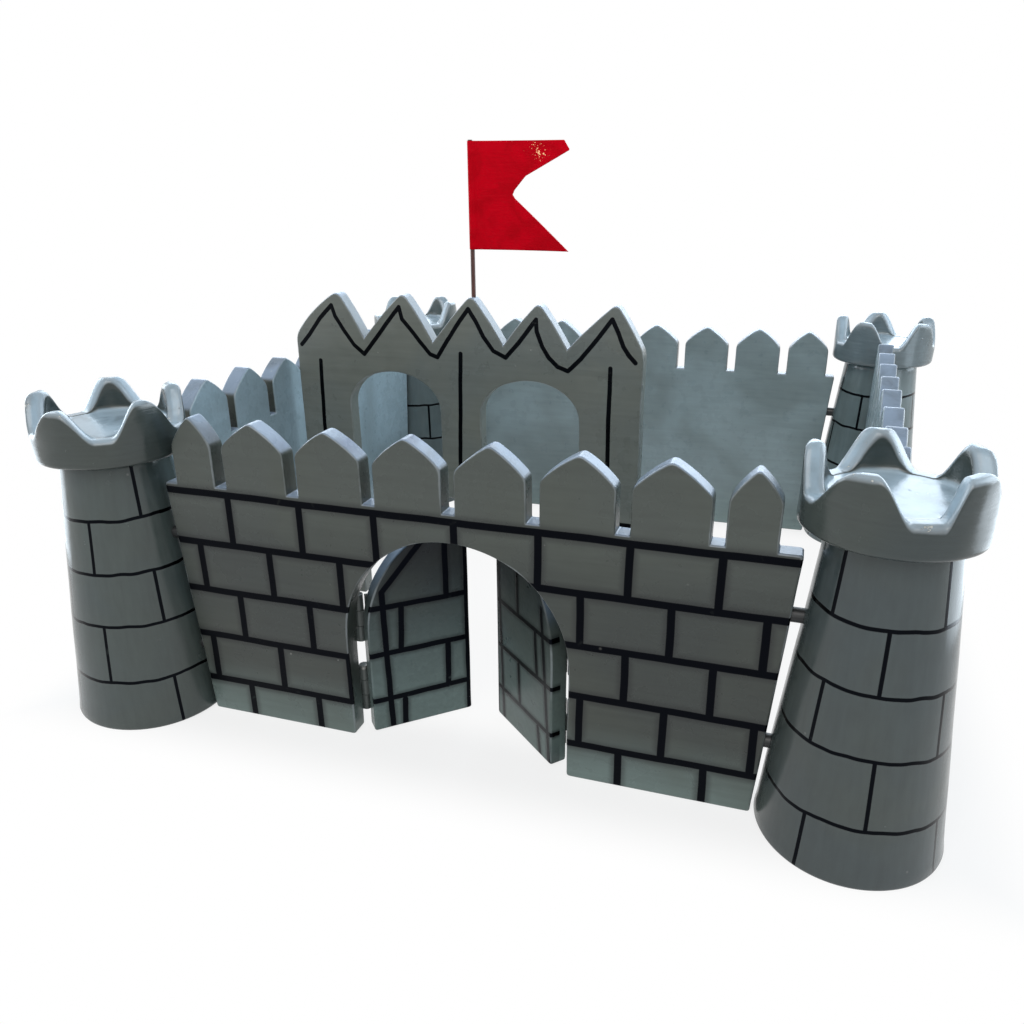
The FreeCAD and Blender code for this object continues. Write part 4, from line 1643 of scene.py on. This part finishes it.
@dataclass
class Flag:
    """The flag: a strip of tape folded round the stick and stuck to itself, its fly cut to a swallowtail."""

    finish: Tape
    height: float = 53.0
    stick_radius: float = 1.25
    skin: float = 0.3
    levels: int = 90
    along: int = 60
    around: int = 12
    bend: float = 1.5
    top_margin: float = 0.5
    bow_length: float = 53.0
    twist: float = 0.9
    twist_level: float = 0.4
    closed_gap: float = 0.55
    closing: float = 1.5

    def reach(self, level: np.ndarray) -> np.ndarray:
        """Length of the fly at each level, in straight runs between the cut's corners.

        Args:
            level: Heights above the flag's lower edge.

        Returns:
            Distance from the stick's middle to the cut edge.
        """
        heights = [0.0, 25.6, 27.4, 29.6, 36.3, 48.4, 53.0]
        lengths = [53.3, 23.6, 22.4, 23.4, 29.4, 53.0, 50.0]
        return np.interp(level, heights, lengths)

    def build(self) -> bpy.types.Object:
        """Carry the folded strip's section up the stick.

        The section runs along the near layer to the stick, half round it and back along the far layer.
        Both layers share one gentle bow, bend * sin(pi * share) along the fly, and close on each other away
        from the stick.

        Returns:
            The flag's object.
        """
        low, high = (np.array(corner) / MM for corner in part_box("flagpole"))
        stick = (low + high) / 2
        level = np.linspace(0.0, self.height, self.levels)[:, None]
        share = np.linspace(1.0, 0.0, self.along)[None, :]
        fly = self.reach(level)
        radius = self.stick_radius + self.skin / 2
        start = radius * 1.4
        across = start + (fly - start) * share
        closed = self.skin * self.closed_gap
        near_gap = closed + (radius - closed) * np.exp(-np.maximum(across - start, 0.0) / self.closing)
        twist = self.twist * (across / self.bow_length) ** 2 * (level / self.height - self.twist_level)
        ripple = self.bend * np.sin(math.pi * across / self.bow_length) + twist
        angle = np.linspace(-math.pi / 2 + 0.5, -3 * math.pi / 2 - 0.5, self.around)[None, :]
        wrap = np.stack(np.broadcast_arrays(radius * np.cos(angle), radius * np.sin(angle), level), axis=-1)
        front = np.stack(np.broadcast_arrays(across, ripple - near_gap, level), axis=-1)
        back = np.stack(np.broadcast_arrays(across, ripple + near_gap, level), axis=-1)[:, ::-1]
        section = np.concatenate([front, wrap, back], axis=1)
        count = section.shape[1]
        vertices = section.reshape(-1, 3) + [stick[0], stick[1], high[2] - self.top_margin - self.height]
        shape = Shape(vertices, [grid_faces(self.levels, count, False)[:, ::-1]])
        made = shape.piece("flag_tape", self.finish.build())
        skin = made.modifiers.new("skin", "SOLIDIFY")
        skin.thickness = self.skin * MM
        skin.offset = 0.0
        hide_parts("flag")
        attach(made, "root")
        return made


@dataclass
class Fittings:
    """The small pieces that keep their own shape and only get a finish: pins, hinges, screws and sticks."""

    painted_pin: TurnedWood = TurnedWood(
        "painted pin", linear(44, 46, 46), linear(22, 23, 25), (60.0, 700.0, 700.0), 0.4)
    bare_dowel: TurnedWood = TurnedWood("bare dowel", linear(214, 184, 140), linear(188, 150, 104))
    stick: TurnedWood = TurnedWood(
        "stained stick", linear(88, 44, 34), linear(44, 20, 16), (1500.0, 1500.0, 80.0), 0.4)
    hinge: PaintedMetal = PaintedMetal("painted hinge")

    def dress(self, nodes: dict[str, bpy.types.Object]) -> int:
        """Give each small node the finish of its kind.

        Args:
            nodes: The frame's objects by name.

        Returns:
            How many were dressed.
        """
        hinge = self.hinge.build()
        kinds: list[tuple[str, bpy.types.Material]] = [
            ("wall_pins", self.painted_pin.build()), ("cap_dowels", self.bare_dowel.build()),
            ("flagpole", self.stick.build()), ("hinge_", hinge), ("screws", hinge)]
        dressed = 0
        for name, node in nodes.items():
            for key, material in kinds:
                if key in name:
                    node.data.materials.clear()
                    node.data.materials.append(material)
                    dressed += 1
                    break
        return dressed


# The room: floor, light and camera


@dataclass
class Lamp:
    """A large soft lamp aimed at the castle."""

    name: str
    place: tuple[float, float, float]
    width: float
    height: float
    brightness: float
    colour: Colour
    target: tuple[float, float, float] = (0.0, 0.0, 0.1)
    only_gloss: bool = False

    def build(self) -> bpy.types.Object:
        """Build the lamp. Its power is brightness * pi * area, so a mirror shows it at its brightness."""
        data = bpy.data.lights.new(self.name, "AREA")
        data.shape = "RECTANGLE"
        data.size = self.width
        data.size_y = self.height
        data.energy = self.brightness * math.pi * self.width * self.height
        data.color = self.colour
        made = bpy.data.objects.new(self.name, data)
        made.visible_camera = False
        made.visible_diffuse = not self.only_gloss
        bpy.context.scene.collection.objects.link(made)
        away = np.array(self.place) - np.array(self.target)
        away = away / np.linalg.norm(away)
        side = np.cross([0.0, 0.0, 1.0], away)
        side = side / np.linalg.norm(side)
        matrix = np.eye(4)
        matrix[:3, 0] = side
        matrix[:3, 1] = np.cross(away, side)
        matrix[:3, 2] = away
        matrix[:3, 3] = self.place
        made.matrix_world = Matrix(matrix.tolist())
        return made


@dataclass
class Studio:
    """The floor, the lamps, the surroundings and the camera."""

    camera_place: tuple[float, float, float] = (0.12275, -0.47608, 0.24597)
    camera_yaw: float = 17.06
    camera_pitch: float = 21.88
    camera_roll: float = -0.15
    lens: float = 29.90
    shift: tuple[float, float] = (-0.0242, 0.0144)
    floor_size: float = 12.0
    footprint: tuple[float, float] = (0.205, 0.18)
    shade_reach: float = 0.04
    shade_depth: float = 0.24
    court_depth: float = 0.1
    court_edge: tuple[float, float] = (-0.04, -0.01)
    paper: float = 0.9
    surround: Colour = (0.60, 0.68, 0.74)
    surround_strength: float = 0.42

    def lamps(self) -> list[Lamp]:
        """The lamps: a pale sky behind, cool side lights, a soft front light, and a card by each front tower.

        The two cards light nothing and only show as pale strips in the gloss of the towers.
        """
        right_card = ((0.384, -0.014, 0.17), 0.30, 0.34, 2.6, (0.76, 0.89, 1.0), (0.163, -0.169, 0.17))
        left_card = ((-0.444, -0.122, 0.17), 0.16, 0.34, 2.4, (0.78, 0.90, 1.0), (-0.178, -0.169, 0.17))
        return [
            Lamp("sky behind", (-0.2, 1.9, 0.95), 3.4, 1.5, 3.0, (0.72, 0.86, 1.0)),
            Lamp("right side", (1.5, 0.62, 0.7), 1.0, 1.3, 3.4, (0.76, 0.89, 1.0)),
            Lamp("left side", (-1.6, 0.3, 0.7), 0.9, 1.3, 3.0, (0.78, 0.90, 1.0)),
            Lamp("front above", (0.1, -1.7, 1.75), 1.9, 1.3, 3.3, (1.0, 0.985, 0.96)),
            Lamp("right card", *right_card, only_gloss=True),
            Lamp("left card", *left_card, only_gloss=True),
        ]

    @staticmethod
    def seen(graph: Graph, ray: bpy.types.Node) -> Socket:
        """One for rays from the camera, off a mirror or through clear things: they see the white room."""
        direct = graph.math("MAXIMUM", ray.outputs["Is Camera Ray"], ray.outputs["Is Transmission Ray"])
        return graph.math("MAXIMUM", direct, ray.outputs["Is Glossy Ray"])

    @staticmethod
    def end_tree(graph: Graph, share: object, lit: bpy.types.Node, output: str) -> None:
        """End a tree with a shader and plain white, mixed by a share.

        Args:
            graph: The tree's graph.
            share: How much of it is plain white.
            lit: The shader's node.
            output: The type of the tree's output node.
        """
        kind = "ShaderNodeBackground" if output == "ShaderNodeOutputWorld" else "ShaderNodeEmission"
        white = graph.node(kind, {"Color": (1.0, 1.0, 1.0, 1.0), "Strength": 1.0})
        both = graph.node("ShaderNodeMixShader", {0: share})
        graph.link(lit.outputs[0], both.inputs[1])
        graph.link(white.outputs[0], both.inputs[2])
        graph.link(both.outputs[0], graph.node(output).inputs[0])

    def build_floor(self) -> bpy.types.Object:
        """A wide white plane; near the castle it is partly lit paper, which takes the castle's shadow."""
        half = self.floor_size / 2
        corners = [(-half, -half, 0.0), (half, -half, 0.0), (half, half, 0.0), (-half, half, 0.0)]
        mesh = bpy.data.meshes.new("floor")
        mesh.from_pydata(corners, [], [(0, 1, 2, 3)])
        material = bpy.data.materials.new("floor")
        graph = empty_graph(material)
        paper = graph.node("ShaderNodeBsdfDiffuse", {"Color": (self.paper, self.paper, self.paper, 1.0)})
        ray = graph.node("ShaderNodeLightPath")
        across, depth, _ = graph.split(graph.vector("ABSOLUTE", graph.place()))
        beyond = graph.math("MAXIMUM", graph.math("SUBTRACT", across, self.footprint[0]),
                            graph.math("SUBTRACT", depth, self.footprint[1]))
        outside = graph.ramp(beyond, 0.0, self.shade_reach, 1.0 - self.shade_depth, 1.0)
        inside = graph.ramp(beyond, *self.court_edge, 1.0 - self.court_depth, 1.0 - self.shade_depth)
        share = graph.math("MULTIPLY", self.seen(graph, ray), graph.math("MAXIMUM", inside, outside))
        self.end_tree(graph, share, paper, "ShaderNodeOutputMaterial")
        mesh.materials.append(material)
        floor = bpy.data.objects.new("floor", mesh)
        bpy.context.scene.collection.objects.link(floor)
        return floor

    def build_world(self) -> None:
        """A grey-blue surround for the light, and plain white behind for the camera and clear things."""
        world = bpy.data.worlds.new("surround")
        graph = empty_graph(world)
        light = graph.node("ShaderNodeBackground", {
            "Color": (*self.surround, 1.0), "Strength": self.surround_strength})
        ray = graph.node("ShaderNodeLightPath")
        self.end_tree(graph, self.seen(graph, ray), light, "ShaderNodeOutputWorld")
        bpy.context.scene.world = world

    def build_camera(self) -> bpy.types.Object:
        """The camera: turned left by its yaw, tipped down by its pitch, then rolled."""
        angles = (self.camera_yaw, self.camera_pitch, self.camera_roll)
        yaw, pitch, roll = (math.radians(angle) for angle in angles)
        right = np.array([math.cos(yaw), math.sin(yaw), 0.0])
        level = np.array([-math.sin(yaw), math.cos(yaw), 0.0])
        rise = np.array([0.0, 0.0, 1.0])
        forward = math.cos(pitch) * level - math.sin(pitch) * rise
        up = math.sin(pitch) * level + math.cos(pitch) * rise
        matrix = np.eye(4)
        matrix[:3, 0] = math.cos(roll) * right - math.sin(roll) * up
        matrix[:3, 1] = math.sin(roll) * right + math.cos(roll) * up
        matrix[:3, 2] = -forward
        matrix[:3, 3] = self.camera_place
        data = bpy.data.cameras.new("camera")
        data.sensor_width = 36.0
        data.lens = self.lens
        data.shift_x, data.shift_y = self.shift
        data.clip_start = 0.01
        camera = bpy.data.objects.new("camera", data)
        bpy.context.scene.collection.objects.link(camera)
        camera.matrix_world = Matrix(matrix.tolist())
        bpy.context.scene.camera = camera
        return camera

    def build(self) -> None:
        """Build the whole room and set the plain view transform."""
        self.build_floor()
        self.build_world()
        for lamp in self.lamps():
            lamp.build()
        self.build_camera()
        bpy.context.scene.view_settings.view_transform = "Standard"


# Finishes of this castle

FACE = linear(57, 62, 59)
HEAD_PAINTED_LIGHT = linear(76, 81, 76)
CLOUD = linear(76, 80, 70)
# Painted light: paler tones for the walls' and the keep's inner faces, and paler still for the left and back
# walls, which lie more in shade.
INNER_PAINTED_LIGHT = linear(141, 157, 162)
INNER_PAINTED_LIGHT_BY_SIDE = {"left": linear(164, 184, 193), "back": linear(146, 162, 166)}
# Painted light: the keep board, standing in the court, gets a much paler copy of the walls' enamel and its
# patches.
KEEP_PAINTED_LIGHT = linear(112, 117, 113)
KEEP_CLOUD_PAINTED_LIGHT = linear(122, 122, 108)
# Painted shade: the doors' outer faces are much darker than the wall's face of the same enamel; their back
# faces keep the face tone.
DOOR_PAINTED_SHADE = linear(24, 28, 34)
# Dust and painted reflection: the pale bluish tone on the caps' tops and floors.
CAP_DUST_AND_SHEEN = linear(178, 199, 213)


def wall_finish(side: str) -> Enamel:
    """The finish of a wall: brickwork outside; inside, a paler tone that is painted light."""
    inner = INNER_PAINTED_LIGHT_BY_SIDE.get(side, INNER_PAINTED_LIGHT)
    return Enamel(side + " wall enamel", FACE, CLOUD, Brickwork(), inner=inner, head=HEAD_PAINTED_LIGHT, bounce_light_share=0.46,
                  bounce_light_height=34.0)


LEFT_DOOR_LINES = Strokes(
    runs=(
        ((0.0, 66.0), (50.0, 65.6)), ((0.0, 41.8), (50.0, 41.8)), ((0.0, 17.1), (50.0, 17.4)),
        ((8.3, 73.6), (9.8, -1.0)), ((17.1, 64.0), (16.1, 42.0)), ((39.3, 104.0), (39.2, 66.4)),
        ((39.2, 41.3), (38.6, 17.1)), ((16.4, 14.9), (15.9, -0.8)), ((8.3, 73.6), (30.5, 98.0)),
        ((49.4, 106.0), (49.4, 0.0)), ((0.6, 73.0), (0.6, 66.0)), ((30.5, 98.0), (49.0, 104.2)),
    ), half_width=1.25, halo=2.6)

RIGHT_DOOR_LINES = Strokes(
    runs=(
        ((-1.0, 63.9), (50.5, 64.6)), ((-1.0, 40.6), (50.5, 40.8)), ((-1.0, 16.6), (50.5, 17.4)),
        ((48.8, 106.0), (47.9, 80.3)), ((47.9, 80.3), (43.9, 0.7)), ((30.8, 98.0), (30.1, 65.7)),
        ((14.7, 62.3), (13.2, 41.8)), ((9.7, 76.5), (2.1, 0.0)), ((29.7, 38.8), (28.4, 17.6)),
        ((12.2, 14.7), (9.8, 0.7)), ((50.3, 104.0), (50.3, 0.0)),
    ), half_width=1.0, halo=2.4, wrap=4.6)

KEEP_LINES = Strokes(
    runs=(
        ((3.5, 158.7), (9.0, 164.4), (17.1, 174.4), (25.1, 182.0), (27.0, 175.9), (32.1, 168.2),
         (37.8, 160.2), (44.2, 155.0), (52.3, 164.7), (60.5, 174.6), (67.6, 182.6), (69.2, 176.1),
         (73.9, 171.0), (79.6, 163.9), (85.4, 157.4), (89.8, 155.8), (96.5, 166.0), (104.0, 176.6),
         (109.2, 183.2), (113.4, 176.9), (117.7, 168.7), (123.4, 161.2), (130.5, 157.9), (137.8, 166.2),
         (144.0, 174.2), (148.0, 179.2), (148.3, 173.3), (151.5, 165.1), (155.3, 159.3), (160.3, 154.8),
         (166.0, 152.8), (173.2, 159.7), (179.6, 167.8), (189.6, 181.2), (192.9, 174.8), (195.9, 167.5),
         (199.1, 163.0), (202.8, 159.2)),
        ((15.1, 149.8), (13.8, 111.0), (14.6, 60.0)),
        ((103.9, 158.7), (102.6, 120.0), (101.8, 95.5), (102.4, 75.0)),
        ((189.4, 155.6), (189.2, 130.0), (189.6, 101.0), (189.2, 60.0)),
        ((1.0, 67.0), (32.0, 67.2)), ((173.0, 67.4), (206.0, 67.0)),
    ), half_width=1.08, unsteady=0.7)

TOWER_PENS = {
    "front_left": TowerPen((105.0, 79.8, 53.6, 25.2), (-33.0, -83.0, -31.5, -80.5, -33.0)),
    "front_right": TowerPen((105.0, 79.8, 53.6, 25.2), (-45.0, -89.5, -39.0, -85.5, -32.5)),
    "back_right": TowerPen((111.8, 88.6, 60.0, 30.0), (-70.0, -114.5, -68.0, -110.0, -66.0)),
    "back_left": TowerPen((108.0, 83.0, 56.0, 27.0), (-50.0, -95.0, -52.0, -97.0, -49.0)),
}

CAP_TURNS = {"front_left": 55.0, "front_right": 29.0, "back_right": 25.0, "back_left": 72.0}
CAP_VALLEYS = {
    "front_left": ((-52.0, 5.0, 25.0, 22.0), (17.0, 4.0, 27.0, 24.0), (-124.0, 4.0, 24.0, 27.0)),
    "front_right": ((-76.0, 8.5, 22.0, 12.0), (-157.0, 3.0, 22.0, 30.0)),
}
CAP_CRESTS = {
    "front_left": (0.98, 1.0, 0.97, 0.82, 0.96), "front_right": (1.0, 1.0, 1.0, 0.91, 0.97),
    "back_right": (0.98, 0.98, 0.98, 0.98, 0.98), "back_left": (1.0, 1.0, 0.35, 1.0, 1.0)}
CAP_OFFSETS = {"front_right": -1.6}
# Painted light: one grey enamel given a different brightness on each tower and cap, much paler on the back
# ones, for how the light falls on each.
TOWER_TONES_PAINTED_LIGHT = {
    "front_left": linear(70, 80, 80), "front_right": linear(65, 74, 75), "back_right": linear(110, 124, 126),
    "back_left": linear(96, 108, 110)}
CAP_TONES_PAINTED_LIGHT = {
    "front_left": linear(56, 64, 63), "front_right": linear(55, 64, 64), "back_right": linear(106, 119, 124),
    "back_left": linear(92, 102, 102)}


def main() -> None:
    """Load the frame, build every sub-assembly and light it."""
    logging.basicConfig(level=logging.INFO, format="%(name)s: %(message)s")
    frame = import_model()
    plan = Plan.from_frame()
    front = Wall("front", "front_left", "front_right", wall_finish("front"), merlon_shift=-0.9,
                 has_gate=True, right_end_step=9.2, seed=1.0)
    walls = [
        front,
        Wall("right", "front_right", "back_right", wall_finish("right"), seed=2.0),
        Wall("back", "back_right", "back_left", wall_finish("back"), seed=3.0),
        Wall("left", "back_left", "front_left", wall_finish("left"), merlon_shift=8.0, seed=4.0),
    ]
    for wall in walls:
        log.info("built %s", wall.build(plan).name)
    for hand, lines in (("left", LEFT_DOOR_LINES), ("right", RIGHT_DOOR_LINES)):
        # Painted shade on the doors' faces, lighter towards the floor as painted light.
        finish = Enamel(hand + " door enamel", DOOR_PAINTED_SHADE, CLOUD, lines, inner=FACE, thickness=8.5, wear=0.25,
                        bounce_light_share=0.46, bounce_light_height=98.0, gloss=0.2)
        log.info("built %s", GateDoor(hand, finish, front).build(plan).name)
    keep = KeepBoard(Enamel("keep enamel", KEEP_PAINTED_LIGHT, KEEP_CLOUD_PAINTED_LIGHT, KEEP_LINES, inner=INNER_PAINTED_LIGHT, wear=0.25))
    log.info("built %s", keep.build().name)
    for number, (name, pen) in enumerate(TOWER_PENS.items()):
        finish = Enamel(name + " tower enamel", TOWER_TONES_PAINTED_LIGHT[name], CLOUD, pen, brush=(320.0, 320.0, 40.0),
                        roughness=0.2, relief=0.09, gloss=0.5)
        log.info("built %s", Tower(name, finish, seed=1.3 * number).build(plan).name)
        finish = Enamel(name + " cap enamel", CAP_TONES_PAINTED_LIGHT[name], CLOUD, brush=(70.0, 70.0, 650.0),
                        roughness=0.22, wear=0.5, relief=0.22, dust_and_sheen=CAP_DUST_AND_SHEEN, dust_and_sheen_share=0.85, gloss=0.5)
        cap = TowerCap(name, CAP_TURNS[name], finish, CAP_VALLEYS.get(name, ()), CAP_CRESTS[name],
                       CAP_OFFSETS.get(name, 0.0), seed=1.7 * number)
        log.info("built %s", cap.build(plan).name)
    log.info("built %s", Flag(Tape("red tape")).build().name)
    log.info("dressed %d small nodes", Fittings().dress(frame["nodes"]))
    Studio().build()


if __name__ == "__main__":
    main()
